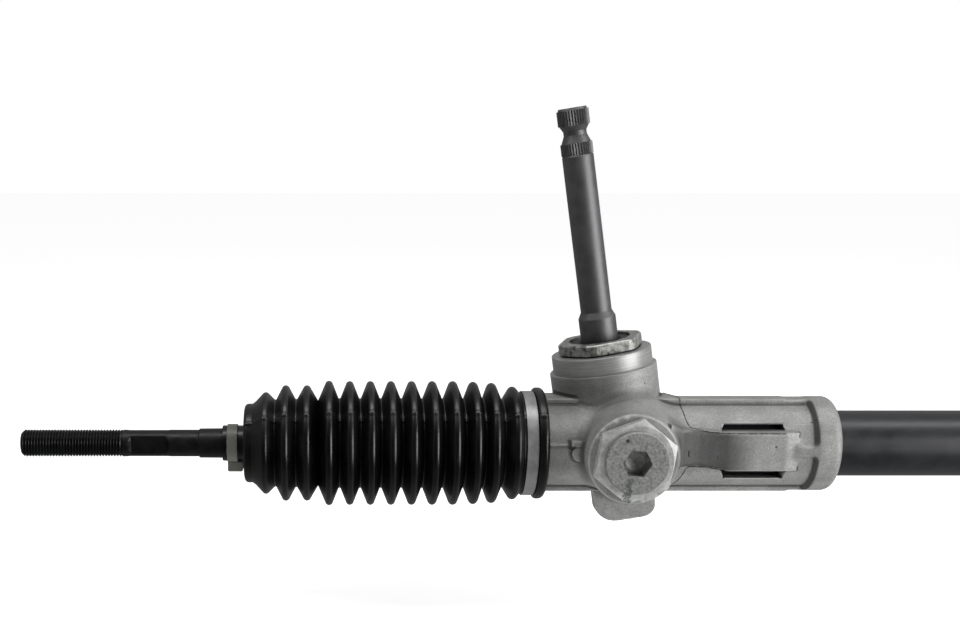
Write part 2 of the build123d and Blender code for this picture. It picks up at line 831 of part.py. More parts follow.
save(pinion_shaft.part, "pinion_shaft")

# Tie rod ends, made for the left and mirrored to the right
mouth_x = ball_x - mouth_distance
seat_edge_x = ball_x - seat_edge
seat_floor_x = socket_face_x - socket_floor


def on_ball(radius, x):
    return (x, math.sqrt(radius**2 - (x - ball_x) ** 2))


with BuildPart() as ball_socket:
    with BuildSketch(Plane.XZ):
        with BuildLine():
            Polyline(
                (ball_x, seat_outer_r),
                (seat_floor_x, seat_outer_r),
                (seat_floor_x, 0),
                (rack_end_x + socket_stud_length, 0),
                (rack_end_x + socket_stud_length, socket_stud_r - socket_edge),
                (rack_end_x + socket_stud_length - socket_edge, socket_stud_r),
                (socket_face_x, socket_stud_r),
                (socket_face_x, socket_body_r - socket_edge),
                (socket_face_x - socket_edge, socket_body_r),
                (ball_x - mouth_distance / 2, socket_body_r),
                (mouth_x - mouth_rim, mouth_r + mouth_rim),
                (mouth_x - mouth_rim, mouth_r + mouth_rim / 2),
                (mouth_x, mouth_r),
            )
            ThreePointArc(
                (mouth_x, mouth_r),
                on_ball(seat_outer_r, ball_x - mouth_distance / 2),
                (ball_x, seat_outer_r),
            )
        make_face()
    revolve(axis=Axis.X)
    with BuildSketch(Plane.YZ.offset(socket_face_x)):
        with GridLocations(0, socket_flats + socket_body_r, 1, 2):
            Rectangle(2 * socket_body_r, socket_body_r)
    extrude(amount=-mouth_distance, mode=Mode.SUBTRACT)

cup_r = ball_r + running_gap
with BuildPart() as ball_seat:
    with BuildSketch(Plane.XZ):
        with BuildLine():
            ThreePointArc(
                on_ball(seat_outer_r, seat_edge_x),
                on_ball(seat_outer_r, ball_x - seat_edge / 2),
                (ball_x, seat_outer_r),
            )
            Polyline(
                (ball_x, seat_outer_r),
                (seat_floor_x, seat_outer_r),
                (seat_floor_x, 0),
                (ball_x + cup_r, 0),
            )
            ThreePointArc((ball_x + cup_r, 0), (ball_x, cup_r), on_ball(cup_r, seat_edge_x))
            Line(on_ball(cup_r, seat_edge_x), on_ball(seat_outer_r, seat_edge_x))
        make_face()
    revolve(axis=Axis.X)

neck_root_x = ball_x - math.sqrt(ball_r**2 - rod_neck_r**2)
with BuildPart() as tie_rod:
    with BuildSketch(Plane.XZ):
        with BuildLine():
            ThreePointArc((ball_x + ball_r, 0), (ball_x, ball_r), (neck_root_x, rod_neck_r))
            Polyline(
                (neck_root_x, rod_neck_r),
                (rod_neck_end_x, rod_neck_r),
                (rod_neck_end_x - rod_neck_flare, rod_r),
                (rod_shank_end_x, rod_r),
                (rod_step_x, rod_step_r),
                (rod_step_x - rod_edge, rod_slim_r),
                (flats_x[1], rod_slim_r),
                (flats_x[1] - rod_edge, flats_r),
                (flats_x[0], flats_r),
                (flats_x[0] - rod_edge, rod_slim_r),
                (thread_start_x, rod_slim_r),
                (thread_start_x - rod_edge, thread_r),
                (rod_tip_x + thread_chamfer, thread_r),
                (rod_tip_x, thread_r - thread_chamfer),
                (rod_tip_x, 0),
                (ball_x + ball_r, 0),
            )
        make_face()
    revolve(axis=Axis.X)
    with BuildSketch(Plane.XY):
        with Locations(((flats_x[0] + flats_x[1]) / 2, 0)):
            with GridLocations(0, flats_across + 2 * flats_r, 1, 2):
                Rectangle(flats_x[1] - flats_x[0] - 2 * flats_runout, 2 * flats_r)
    extrude(amount=flats_r, both=True, mode=Mode.SUBTRACT)

with BuildPart() as lock_washer:
    with BuildSketch(Plane.YZ.offset(socket_face_x)):
        Circle(socket_flats / 2 - washer_inset)
        with GridLocations(0, socket_flats / 2 + tab_t, 1, 2):
            Rectangle(tab_width, socket_flats / 2 + tab_t)
        Circle(socket_stud_r, mode=Mode.SUBTRACT)
    extrude(amount=washer_t)
    with BuildSketch(Plane.YZ.offset(socket_face_x)):
        with GridLocations(0, socket_flats + tab_t, 1, 2):
            Rectangle(tab_width, tab_t)
    extrude(amount=-tab_length)
    with BuildSketch(Plane.YZ.offset(rack_end_x)):
        with GridLocations(2 * rack_bar_r - tab_t, 0, 2, 1):
            Rectangle(tab_t, tab_width)
        Circle(rack_bar_r, mode=Mode.INTERSECT)
    extrude(amount=tab_length)

clip_r = boot_neck_r + soft_gap
with BuildPart() as boot_clip:
    with BuildSketch(Plane.YZ.offset(boot_neck_gap_x[0])):
        Circle(clip_r + clip_t)
        Circle(clip_r, mode=Mode.SUBTRACT)
    extrude(amount=boot_neck_gap_x[1] - boot_neck_gap_x[0])
    clip_head_z = -clip_r - clip_t / 2 - clip_head[2] / 2
    with Locations((boot_neck_gap_x[0] + clip_head[0] / 2, 0, clip_head_z)):
        Box(*clip_head)
    fillet(boot_clip.faces().sort_by(Axis.Z)[0].edges(), clip_edge)

for name, piece in (
    ("ball_socket", ball_socket),
    ("ball_seat", ball_seat),
    ("lock_washer", lock_washer),
    ("tie_rod", tie_rod),
    ("boot_clip", boot_clip),
):
    save(piece.part, f"left_{name}")
    save(mirror(piece.part, about=mid_plane), f"right_{name}")

# Boots: convolutions between a neck on the rod and a bead on the housing or on the tube
crests = list(boot_last_crests)
crests += [(boot_first_crest_x + boot_pitch * k, boot_crest_r) for k in reversed(range(boot_crests))]
crests += list(boot_small_crests)
fold_depth = boot_crest_r - boot_valley_r
fold_wall = boot_wall * math.hypot(1, 2 * fold_depth / boot_pitch)
neck_bore_r = rod_r + soft_gap


def boot_outline(seat_r):
    outer = [
        (boot_end_x, seat_r),
        (boot_end_x, seat_r + boot_seat_wall + boot_bead - boot_bead_edge),
        (boot_end_x - boot_bead_edge, seat_r + boot_seat_wall + boot_bead),
        (boot_seat_x[1] + boot_bead_edge, seat_r + boot_seat_wall + boot_bead),
        (boot_seat_x[1], seat_r + boot_seat_wall),
        (boot_seat_x[0], seat_r + boot_seat_wall),
    ]
    inner = [(boot_seat_x[0], seat_r)]
    for here, after in zip(crests, crests[1:] + [None]):
        outer.append((here[0] + boot_crest_flat / 2, here[1]))
        outer.append((here[0] - boot_crest_flat / 2, here[1]))
        inner.append((here[0], here[1] - fold_wall))
        if after:
            valley_x = (here[0] + after[0]) / 2
            outer.append((valley_x, boot_valley_r))
            inner.append((valley_x, boot_valley_r - fold_wall))
    outer += [
        (boot_face_x + boot_corner + boot_face_land, boot_shoulder_r),
        (boot_face_x + boot_corner / 3, boot_shoulder_r),
        (boot_face_x, boot_shoulder_r - boot_corner),
        (boot_face_x, boot_lip_r),
        (boot_neck_gap_x[1], boot_lip_r),
        (boot_neck_gap_x[1], boot_neck_r),
        (boot_neck_gap_x[0], boot_neck_r),
        (boot_neck_gap_x[0], boot_lip_r),
        (boot_lip_x + boot_lip_edge, boot_lip_r),
        (boot_lip_x, boot_lip_r - boot_lip_edge),
        (boot_lip_x, neck_bore_r),
    ]
    inner += [
        (boot_face_x + boot_wall, boot_shoulder_r - 2 * boot_wall),
        (boot_face_x + boot_wall, neck_bore_r),
    ]
    return outer + inner[::-1]


for name, seat_r in (("left", spigot_r), ("right", tube_r)):
    band_r = seat_r + boot_seat_wall + band_gap
    band_middle_x = (boot_seat_x[0] + boot_seat_x[1]) / 2
    with BuildPart() as boot:
        revolve(outline(Plane.XZ, boot_outline(seat_r)), axis=Axis.X)
    with BuildPart() as boot_band:
        with BuildSketch(Plane.YZ.offset(band_middle_x - band_width / 2)):
            with Locations((band_r + band_ear[1] / 2, 0)):
                RectangleRounded(band_ear[1] + 2 * band_t, band_ear[0], band_t)
                RectangleRounded(
                    band_ear[1], band_ear[0] - 2 * band_t, band_t / 2, mode=Mode.SUBTRACT
                )
            Circle(band_r + band_t)
            Circle(band_r, mode=Mode.SUBTRACT)
        extrude(amount=band_width)
    if name == "right":
        save(mirror(boot.part, about=mid_plane), "right_boot")
        save(mirror(boot_band.part, about=mid_plane), "right_boot_band")
    else:
        save(boot.part, "left_boot")
        save(boot_band.part, "left_boot_band")

print("pitch radius", round(pitch_r, 4), "rack pitch", round(rack_pitch, 4))
print("rad per metre of rack", round(1000 * 2 * math.pi / pinion_teeth / rack_pitch, 4))
print("ball", ball_x, "mid", mid_x, "tube end", tube_end_x, "rack land", rack_land_y)
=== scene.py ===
import math

import bmesh
import bpy
import mathutils
import numpy as np
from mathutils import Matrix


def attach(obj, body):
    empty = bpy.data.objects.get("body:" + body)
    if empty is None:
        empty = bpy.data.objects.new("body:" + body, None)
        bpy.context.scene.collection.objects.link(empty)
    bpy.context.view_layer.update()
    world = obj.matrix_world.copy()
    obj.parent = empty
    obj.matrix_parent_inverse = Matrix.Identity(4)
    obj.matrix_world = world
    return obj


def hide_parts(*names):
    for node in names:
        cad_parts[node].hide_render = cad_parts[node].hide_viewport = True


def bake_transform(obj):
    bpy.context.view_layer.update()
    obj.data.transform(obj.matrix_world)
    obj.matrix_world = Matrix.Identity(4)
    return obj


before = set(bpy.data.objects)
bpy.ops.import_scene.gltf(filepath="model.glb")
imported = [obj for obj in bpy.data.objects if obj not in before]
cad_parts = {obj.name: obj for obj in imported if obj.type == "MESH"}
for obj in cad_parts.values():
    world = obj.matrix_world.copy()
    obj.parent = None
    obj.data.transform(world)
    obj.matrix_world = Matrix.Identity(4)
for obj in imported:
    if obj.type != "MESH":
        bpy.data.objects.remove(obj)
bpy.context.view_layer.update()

import openvdb

mm = 0.001

# Camera, seen from in front and a little above, square to the rack's length
cameraPlace = {
    "focalPixels": 1350.0,
    "imageWidth": 960,
    "imageHeight": 640,
    "pixelsPerMm": 1.94,  # on the rack's axis
    "pitchDown": 13.0,  # degrees
    "centrePixel": (326.0, 455.0),  # where the view axis meets the image
    "originPixel": (617.5, 443.0),  # where the rack's origin lies in the image
}


def makeCamera(place):
    pitch = math.radians(place["pitchDown"])
    distance = place["focalPixels"] / place["pixelsPerMm"]
    sideways = (place["originPixel"][0] - place["centrePixel"][0]) / place["pixelsPerMm"]
    upwards = (place["centrePixel"][1] - place["originPixel"][1]) / place["pixelsPerMm"]
    forward = np.array([0, math.cos(pitch), -math.sin(pitch)])
    up = np.array([0, math.sin(pitch), math.cos(pitch)])
    spot = -(np.array([sideways, 0, 0]) + up * upwards + forward * distance) * mm
    data = bpy.data.cameras.new("camera")
    data.sensor_width = 36
    data.lens = place["focalPixels"] / place["imageWidth"] * data.sensor_width
    data.shift_x = (place["imageWidth"] / 2 - place["centrePixel"][0]) / place["imageWidth"]
    data.shift_y = (place["centrePixel"][1] - place["imageHeight"] / 2) / place["imageWidth"]
    data.clip_start = 0.01
    data.clip_end = 50
    camera = bpy.data.objects.new("camera", data)
    camera.location = spot
    camera.rotation_euler = (math.pi / 2 - pitch, 0, 0)
    bpy.context.scene.collection.objects.link(camera)
    bpy.context.scene.camera = camera


makeCamera(cameraPlace)
print("camera placed")


def colour(hexCode):
    channels = [int(hexCode[k:k + 2], 16) / 255 for k in (1, 3, 5)]
    linear = [c / 12.92 if c <= 0.04045 else ((c + 0.055) / 1.055) ** 2.4 for c in channels]
    return (*linear, 1)


# Adds a node, sets its settings, links or fills its inputs, and gives back one of its outputs
def addNode(tree, kind, inputs=None, output=0, **settings):
    node = tree.nodes.new("ShaderNode" + kind)
    for name, value in settings.items():
        setattr(node, name, value)
    for key, value in (inputs or {}).items():
        if isinstance(value, bpy.types.NodeSocket):
            tree.links.new(value, node.inputs[key])
        else:
            node.inputs[key].default_value = value
    return node.outputs[output]


def newMaterial(name, **surface):
    material = bpy.data.materials.new(name)
    material.use_nodes = True
    tree = material.node_tree
    shader = tree.nodes["Principled BSDF"]
    for key, value in surface.items():
        shader.inputs[key.replace("_", " ")].default_value = value
    return material, tree, shader


# Die-cast aluminium, shot-blasted: dull satin skin, fine grain, faint flow marks and small dark pits, with painted
# highlight on standing edges and painted shade in corners and on some faces
castLook = {
    "light": "#aaaaa8",
    "dark": "#90918f",
    "speck": "#6a6b69",
    "pit": "#484846",
    "edge": "#c4c4c2",
    "cornerShadeColour": "#2a2a28",
    "shadeColour": "#303130",
    "metal": 0.4,
    "rough": (0.48, 0.66),
    "bump": 0.13,
    "grain": 0.8,  # sizes in millimetres, the grain drawn coarse enough to show
    "flow": 9.0,
    "pore": 2.6,
    "cornerShade": 0.8,  # painted shade in the closed-in corners, how dark at most
    "arm": (18, 27, 50, 66, -22.0, 12.6),  # painted shade on the arm's front: start, full, fading, end, front, height
    "armShadeDepth": 0.85,
    "patches": [  # patches of painted shade: centre, reach, depth
        ((-17, -6, 32), (22, 22, 14), 0.5), ((-32, -10, 21), (14, 14, 9), 0.45), ((23, -25, 6), (9, 14, 14), 0.8),
    ],
    "wall": (-0.2, -0.6, 86, 90, 0.8),  # painted shade on the left-facing walls of the collar's pockets: slopes, from, to, depth
}


def makeCastAluminium(look):
    material, tree, shader = newMaterial("castAluminium", Metallic=look["metal"], Roughness=0.6)
    place = addNode(tree, "TexCoord", output="Object")
    axisX, axisY, axisZ = addNode(tree, "SeparateXYZ", {0: place}).node.outputs
    grain, flow, pores = (
        addNode(tree, "TexNoise", {"Vector": place, "Scale": 1 / (look[size] * mm), "Detail": detail, "Roughness": rough})
        for size, detail, rough in (("grain", 4.0, 0.7), ("flow", 4.0, 0.6), ("pore", 2.0, 0.5))
    )
    pits = addNode(tree, "MapRange", {0: pores, 1: 0.74, 2: 0.78})
    specks = addNode(tree, "MapRange", {0: grain, 1: 0.4, 2: 0.66, 4: 0.5})

    # edges that stand out are painted light, partly as rubbed wear and partly as painted highlight; closed-in corners
    # get painted shade
    convex = addNode(tree, "MapRange", {0: addNode(tree, "NewGeometry", output="Pointiness"), 1: 0.52, 2: 0.58})
    uneven = addNode(tree, "MapRange", {0: flow, 1: 0.3, 2: 0.6, 3: 0.3, 4: 0.9})
    wearAndHighlight = addNode(tree, "Math", {0: convex, 1: uneven}, operation="MULTIPLY")
    # painted shade: darker where the hollow attribute finds the surface closed in
    closed = addNode(tree, "Attribute", output="Fac", attribute_name="hollow")
    cornerShade = addNode(tree, "MapRange", {0: closed, 1: 0.05, 2: 0.35, 4: look["cornerShade"]})

    # painted shade: the arm's front, the patches and the left-facing walls of the pockets, the strongest of them at
    # each point
    start, full, fading, end, front, height = [v * mm for v in look["arm"]]
    upright = addNode(tree, "Math", {0: axisZ}, operation="ABSOLUTE")
    paintedShade = addNode(tree, "MapRange", {0: axisX, 1: start, 2: full})
    for value, low, high, most in (
        (axisX, end, fading, 1), (axisY, front, front - 0.6 * mm, 1),
        (upright, height, height - 1.5 * mm, look["armShadeDepth"]),
    ):
        fade = addNode(tree, "MapRange", {0: value, 1: low, 2: high, 4: most})
        paintedShade = addNode(tree, "Math", {0: paintedShade, 1: fade}, operation="MULTIPLY")
    darker = []
    for centre, reach, depth in look["patches"]:
        inPatch = addNode(tree, "Mapping", {
            "Vector": place, "Location": [-a / b for a, b in zip(centre, reach)], "Scale": [1 / (b * mm) for b in reach],
        })
        away = addNode(tree, "VectorMath", {0: inPatch}, "Value", operation="LENGTH")
        darker.append(addNode(tree, "MapRange", {0: away, 1: 1.1, 2: 0.4, 4: depth}))
    mild, steep, near, far, depth = look["wall"]
    facing = addNode(tree, "SeparateXYZ", {0: addNode(tree, "TexCoord", output="Normal")})
    leftward = addNode(tree, "MapRange", {0: facing, 1: mild, 2: steep})
    along = addNode(tree, "MapRange", {0: axisX, 1: near * mm, 2: far * mm, 4: depth})
    darker.append(addNode(tree, "Math", {0: leftward, 1: along}, operation="MULTIPLY"))
    for mask in darker:
        paintedShade = addNode(tree, "Math", {0: paintedShade, 1: mask}, operation="MAXIMUM")

    share = addNode(tree, "MapRange", {0: flow, 1: 0.3, 2: 0.7})
    skin = addNode(tree, "Mix", {0: share, 6: colour(look["dark"]), 7: colour(look["light"])}, 2, data_type="RGBA")
    # the two tones are overlaid in turn with specks, pits, edges painted light (wear and painted highlight), painted
    # shade in corners, and painted shade on the arm, patches and walls
    for mask, over in (
        (specks, "speck"), (pits, "pit"), (wearAndHighlight, "edge"), (cornerShade, "cornerShadeColour"), (paintedShade, "shadeColour"),
    ):
        skin = addNode(tree, "Mix", {0: mask, 6: skin, 7: colour(look[over])}, 2, data_type="RGBA")
    tree.links.new(skin, shader.inputs["Base Color"])
    low, high = look["rough"]
    rough = addNode(tree, "MapRange", {0: grain, 1: 0.3, 2: 0.7, 3: low, 4: high})
    tree.links.new(rough, shader.inputs["Roughness"])
    height = addNode(tree, "Math", {0: grain, 1: pits}, operation="SUBTRACT")
    bumps = addNode(tree, "Bump", {"Height": height, "Distance": look["bump"] * mm, "Strength": 1.0})
    tree.links.new(bumps, shader.inputs["Normal"])
    return material


# Turned aluminium: lighter, with fine rings round the axis from the tool
turnedLook = {
    "light": "#b4b4b2", "dark": "#8f908f", "pitch": 0.45, "patch": 5.0, "metal": 0.55, "rough": 0.42, "bump": 0.03,
}


def makeTurnedMetal(name, look):
    material, tree, shader = newMaterial(name, Metallic=look["metal"], Roughness=look["rough"])
    along = addNode(tree, "UVMap", uv_map="turned")
    stretched = addNode(tree, "Mapping", {"Vector": along, "Scale": (0.03, 1, 1)}, vector_type="POINT")
    place = addNode(tree, "TexCoord", output="Object")
    lines = addNode(tree, "TexNoise", {"Vector": stretched, "Scale": 1 / (look["pitch"] * mm), "Detail": 2.0})
    patches = addNode(tree, "TexNoise", {"Vector": place, "Scale": 1 / (look["patch"] * mm), "Detail": 3.0})
    lined = addNode(tree, "MapRange", {0: lines, 1: 0.3, 2: 0.7})
    patchy = addNode(tree, "MapRange", {0: patches, 1: 0.2, 2: 0.7, 3: 0.4})
    share = addNode(tree, "Math", {0: lined, 1: patchy}, operation="MULTIPLY")
    skin = addNode(tree, "Mix", {0: share, 6: colour(look["dark"]), 7: colour(look["light"])}, 2, data_type="RGBA")
    tree.links.new(skin, shader.inputs["Base Color"])
    bumps = addNode(tree, "Bump", {"Height": lines, "Distance": look["bump"] * mm, "Strength": 1.0})
    tree.links.new(bumps, shader.inputs["Normal"])
    return material


# The two kinds of plain finish: noise sizes come from the look, the rest is what sets metal apart from rubber
finishes = {
    "metal": {
        "details": (5.0, 3.0), "roughs": (0.6, 0.6), "blotch": (0.32, 0.62), "grain": (0.25, 0.6, 0.5), "bump": 0.02,
    },
    "soft": {
        "details": (4.0, 3.0), "roughs": (0.5, 0.5), "blotch": (0.4, 0.7), "grain": (0.35, 0.7, 0.0), "bump": 0.02,
    },
}

# Metals of the fittings: two tones, roughness, size of the blotches and of the grain
metalLooks = {
    "groundSteel": {  # ground bar steel, oiled: a dark grey with one soft streak of light
        "light": "#6e6e6f", "dark": "#606061", "rough": (0.44, 0.54), "blotch": 7.0, "grain": 0.25, "metal": 0.8,
    },
    "zincSteel": {  # steel, zinc plated: pale grey, cloudy and nearly dull
        "light": "#c4c5c2", "dark": "#9a9b98", "rough": (0.42, 0.56), "blotch": 3.0, "grain": 0.3, "metal": 0.3,
    },
    "wornZinc": {  # the same plating rubbed through: bright islands beside dark ones
        "light": "#b9bab6", "dark": "#5e5e58", "rough": (0.22, 0.55), "blotch": 2.6, "grain": 0.5, "metal": 0.7,
    },
    "bandSteel": {  # cold-rolled strip: a plain mid grey, a little glossy
        "light": "#a2a3a2", "dark": "#858685", "rough": (0.36, 0.5), "blotch": 6.0, "grain": 0.3, "metal": 0.6,
    },
    "bearingSteel": {  # hardened and lapped: nearly a mirror
        "light": "#a8a8aa", "dark": "#8c8c8e", "rough": (0.12, 0.2), "blotch": 8.0, "grain": 0.2, "metal": 1.0,
    },
    "springSteel": {  # oil-tempered wire: darker, with a clear shine
        "light": "#7e7e80", "dark": "#5e5e62", "rough": (0.25, 0.4), "blotch": 4.0, "grain": 0.3, "metal": 1.0,
    },
    "blackPaint": {  # enamel on steel tube: black with a broad satin shine
        "light": "#26272a", "dark": "#17181a", "rough": (0.3, 0.42), "blotch": 12.0, "grain": 0.6, "metal": 0.0,
    },
    "blackPhosphate": {  # phosphated and oiled forging: deep black, hardly shiny
        "light": "#161617", "dark": "#0c0c0d", "rough": (0.32, 0.5), "blotch": 5.0, "grain": 0.3, "metal": 0.35,
    },
    "plugMetal": {  # cast aluminium plug, handled: grey, finely mottled
        "light": "#a0a19f", "dark": "#6f706e", "rough": (0.4, 0.6), "blotch": 1.5, "grain": 0.5, "metal": 0.45,
    },
}

# Moulded rubber and plastics: shallow sheen, dust (the light tone) that dulls the highlights
softLooks = {
    "rubber": {"dark": "#060606", "light": "#161616", "rough": (0.26, 0.38), "blotch": 14.0, "grain": 0.5, "bump": 0.03},
    "sealRubber": {
        "dark": "#151516", "light": "#2c2b29", "rough": (0.4, 0.6), "blotch": 14.0, "grain": 0.5, "bump": 0.03,
    },
    "nylon": {  # pale, so the dust is the darker tone
        "dark": "#64665f", "light": "#565852", "rough": (0.35, 0.5), "blotch": 14.0, "grain": 0.8,
    },
    "bearingPlastic": {"dark": "#2d3031", "light": "#3c3f40", "rough": (0.4, 0.5), "blotch": 14.0, "grain": 0.6},
}


def makeFinish(name, look, kind="metal"):
    finish = finishes[kind]
    material, tree, shader = newMaterial(name, Metallic=look.get("metal", 0.0))
    place = addNode(tree, "TexCoord", output="Object")
    blotch, grain = (
        addNode(tree, "TexNoise", {"Vector": place, "Scale": 1 / (look[size] * mm), "Detail": detail, "Roughness": rough})
        for size, detail, rough in zip(("blotch", "grain"), finish["details"], finish["roughs"])
    )
    cloudy = addNode(tree, "MapRange", {0: blotch, 1: finish["blotch"][0], 2: finish["blotch"][1]})
    low, high, least = finish["grain"]
    grainy = addNode(tree, "MapRange", {0: grain, 1: low, 2: high, 3: least})
    share = addNode(tree, "Math", {0: cloudy, 1: grainy}, operation="MULTIPLY")
    skin = addNode(tree, "Mix", {0: share, 6: colour(look["dark"]), 7: colour(look["light"])}, 2, data_type="RGBA")
    tree.links.new(skin, shader.inputs["Base Color"])
    low, high = look["rough"]
    rough = addNode(tree, "MapRange", {0: blotch, 1: 0.3, 2: 0.7, 3: low, 4: high})
    tree.links.new(rough, shader.inputs["Roughness"])
    depth = look.get("bump", finish["bump"]) * mm
    tree.links.new(addNode(tree, "Bump", {"Height": grain, "Distance": depth, "Strength": 1.0}), shader.inputs["Normal"])
    return material


# Centre-punch dot and a smear of paint across plug and nut, put on when the play is set
markLook = {
    "dot": (-5.4, 11.3, 1.2),  # across, up, radius
    "dotColour": "#3a3a38",
    "paint": (-3.6, 1.5, -7.6),  # middle, half width, top
    "paintColour": "#4f5855",
    "wobble": 1.2,
}


def addMarks(material, look, withDot):
    tree = material.node_tree
    shader = tree.nodes["Principled BSDF"]
    place = addNode(tree, "TexCoord", output="Object")
    axisX, axisY, axisZ = addNode(tree, "SeparateXYZ", {0: place}).node.outputs
    edge = addNode(tree, "TexNoise", {"Vector": place, "Scale": 1 / (2.2 * mm), "Detail": 3.0})
    wobble = addNode(tree, "MapRange", {0: edge, 1: 0.3, 2: 0.7, 3: -look["wobble"] * mm, 4: look["wobble"] * mm})
    middle, half, top = look["paint"]
    aside = addNode(tree, "Math", {0: axisX, 1: wobble}, operation="ADD")
    aside = addNode(tree, "Math", {0: aside, 1: middle * mm}, operation="SUBTRACT")
    aside = addNode(tree, "Math", {0: aside}, operation="ABSOLUTE")
    above = addNode(tree, "Math", {0: axisZ, 1: wobble}, operation="ADD")
    across = addNode(tree, "MapRange", {0: aside, 1: (half + 0.2) * mm, 2: (half - 0.2) * mm})
    below = addNode(tree, "MapRange", {0: above, 1: (top + 0.3) * mm, 2: (top - 0.3) * mm})
    thin = addNode(tree, "TexNoise", {"Vector": place, "Scale": 1 / (1.1 * mm), "Detail": 3.0})
    patchy = addNode(tree, "MapRange", {0: thin, 1: 0.35, 2: 0.6, 3: 0.25, 4: 0.95})
    mask = addNode(tree, "Math", {0: across, 1: below}, operation="MULTIPLY")
    mask = addNode(tree, "Math", {0: mask, 1: patchy}, operation="MULTIPLY")
    before = shader.inputs["Base Color"].links[0].from_socket
    painted = addNode(tree, "Mix", {0: mask, 6: before, 7: colour(look["paintColour"])}, 2, data_type="RGBA")
    if withDot:
        dotX, dotZ, radius = [v * mm for v in look["dot"]]
        centre = addNode(tree, "CombineXYZ", {"X": dotX, "Y": axisY, "Z": dotZ})
        away = addNode(tree, "VectorMath", {0: place, 1: centre}, "Value", operation="DISTANCE")
        dot = addNode(tree, "MapRange", {0: away, 1: radius, 2: 0.6 * radius})
        painted = addNode(tree, "Mix", {0: dot, 6: painted, 7: colour(look["dotColour"])}, 2, data_type="RGBA")
    tree.links.new(painted, shader.inputs["Base Color"])


# Painted shadow round the ring nut's foot, a dark band standing in for a gap, by height along the leaning pinion
footShadowLook = {"lean": 9.3, "from": 47.7, "to": 47.3, "depth": 0.93, "colour": "#121211"}


def addFootShadow(material, look):
    tree = material.node_tree
    shader = tree.nodes["Principled BSDF"]
    lean = math.radians(look["lean"])
    place = addNode(tree, "TexCoord", output="Object")
    upwards = (-math.sin(lean), 0, math.cos(lean))
    up = addNode(tree, "VectorMath", {0: place, 1: upwards}, "Value", operation="DOT_PRODUCT")
    # painted shadow: darker below where the nut's foot meets the ring
    paintedShadow = addNode(tree, "MapRange", {0: up, 1: look["from"] * mm, 2: look["to"] * mm, 4: look["depth"]})
    before = shader.inputs["Base Color"].links[0].from_socket
    skin = addNode(tree, "Mix", {0: paintedShadow, 6: before, 7: colour(look["colour"])}, 2, data_type="RGBA")
    tree.links.new(skin, shader.inputs["Base Color"])


castAluminium = makeCastAluminium(castLook)
turnedAluminium = makeTurnedMetal("turnedAluminium", turnedLook)
metals = {name: makeFinish(name, look) for name, look in metalLooks.items()}
softs = {name: makeFinish(name, look, "soft") for name, look in softLooks.items()}
metals["lockNutZinc"] = makeFinish("lockNutZinc", metalLooks["zincSteel"])
addMarks(metals["plugMetal"], markLook, True)
addMarks(metals["lockNutZinc"], markLook, False)
addFootShadow(metals["wornZinc"], footShadowLook)
print("materials made")

nodeMaterials = {
    "housing": castAluminium,
    "yoke": castAluminium,
    "yoke_plug": metals["plugMetal"],
    "rack_tube": metals["blackPaint"],
    "rack_bar": metals["groundSteel"],
    "pinion_shaft": metals["groundSteel"],
    "bearing_outer_ring": metals["bearingSteel"],
    "bearing_inner_ring": metals["bearingSteel"],
    "bearing_balls": metals["bearingSteel"],
    "bearing_needles": metals["bearingSteel"],
    "needle_cup": metals["bearingSteel"],
    "pinion_circlip": metals["springSteel"],
    "yoke_spring": metals["springSteel"],
    "pinion_nut": metals["wornZinc"],
    "yoke_lock_nut": metals["lockNutZinc"],
    "pinion_seal": softs["sealRubber"],
    "yoke_o_ring": softs["sealRubber"],
    "yoke_liner": softs["bearingPlastic"],
    "rack_bush": softs["bearingPlastic"],
}
for side in ("left", "right"):
    nodeMaterials[side + "_lock_washer"] = metals["zincSteel"]
    nodeMaterials[side + "_ball_socket"] = metals["zincSteel"]
    nodeMaterials[side + "_ball_seat"] = softs["bearingPlastic"]
    nodeMaterials[side + "_boot_clip"] = softs["nylon"]
    nodeMaterials[side + "_boot_band"] = metals["bandSteel"]
    nodeMaterials[side + "_boot"] = softs["rubber"]
    nodeMaterials[side + "_tie_rod"] = metals["blackPhosphate"]
for name, material in nodeMaterials.items():
    carried = bpy.data.objects[name]
    carried.data.materials.clear()
    carried.data.materials.append(material)
print("nodes given materials:", len(nodeMaterials))


def makeMesh(name, points, faces, body, material, sharp=35.0):
    mesh = bpy.data.meshes.new(name)
    mesh.from_pydata(points.tolist(), [], faces)
    mesh.shade_smooth()
    mesh.set_sharp_from_angle(angle=math.radians(sharp))
    mesh.materials.append(material)
    mesh.validate()
    piece = bpy.data.objects.new(name, mesh)
    bpy.context.scene.collection.objects.link(piece)
    if body:
        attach(piece, body)
    return piece


# Points of a grid surface, rows along the profile and columns round it, joined by quads
def gridFaces(rows, columns, closedRows):
    row = np.arange(rows if closedRows else rows - 1)[:, None]
    column = np.arange(columns)[None, :]
    nextRow = (row + 1) % rows
    nextColumn = (column + 1) % columns
    corners = [
        row * columns + column, row * columns + nextColumn,
        nextRow * columns + nextColumn, nextRow * columns + column,
    ]
    return np.stack(corners, axis=-1).reshape(-1, 4)


# Volume under the surface by the divergence theorem, below zero where the faces look inwards
def facingOut(points, faces):
    a, b, c, d = (points[faces[:, k]] for k in range(4))
    volume = np.einsum("ij,ij->i", a, np.cross(b, c)) + np.einsum("ij,ij->i", a, np.cross(c, d))
    return faces if volume.sum() > 0 else faces[:, ::-1]


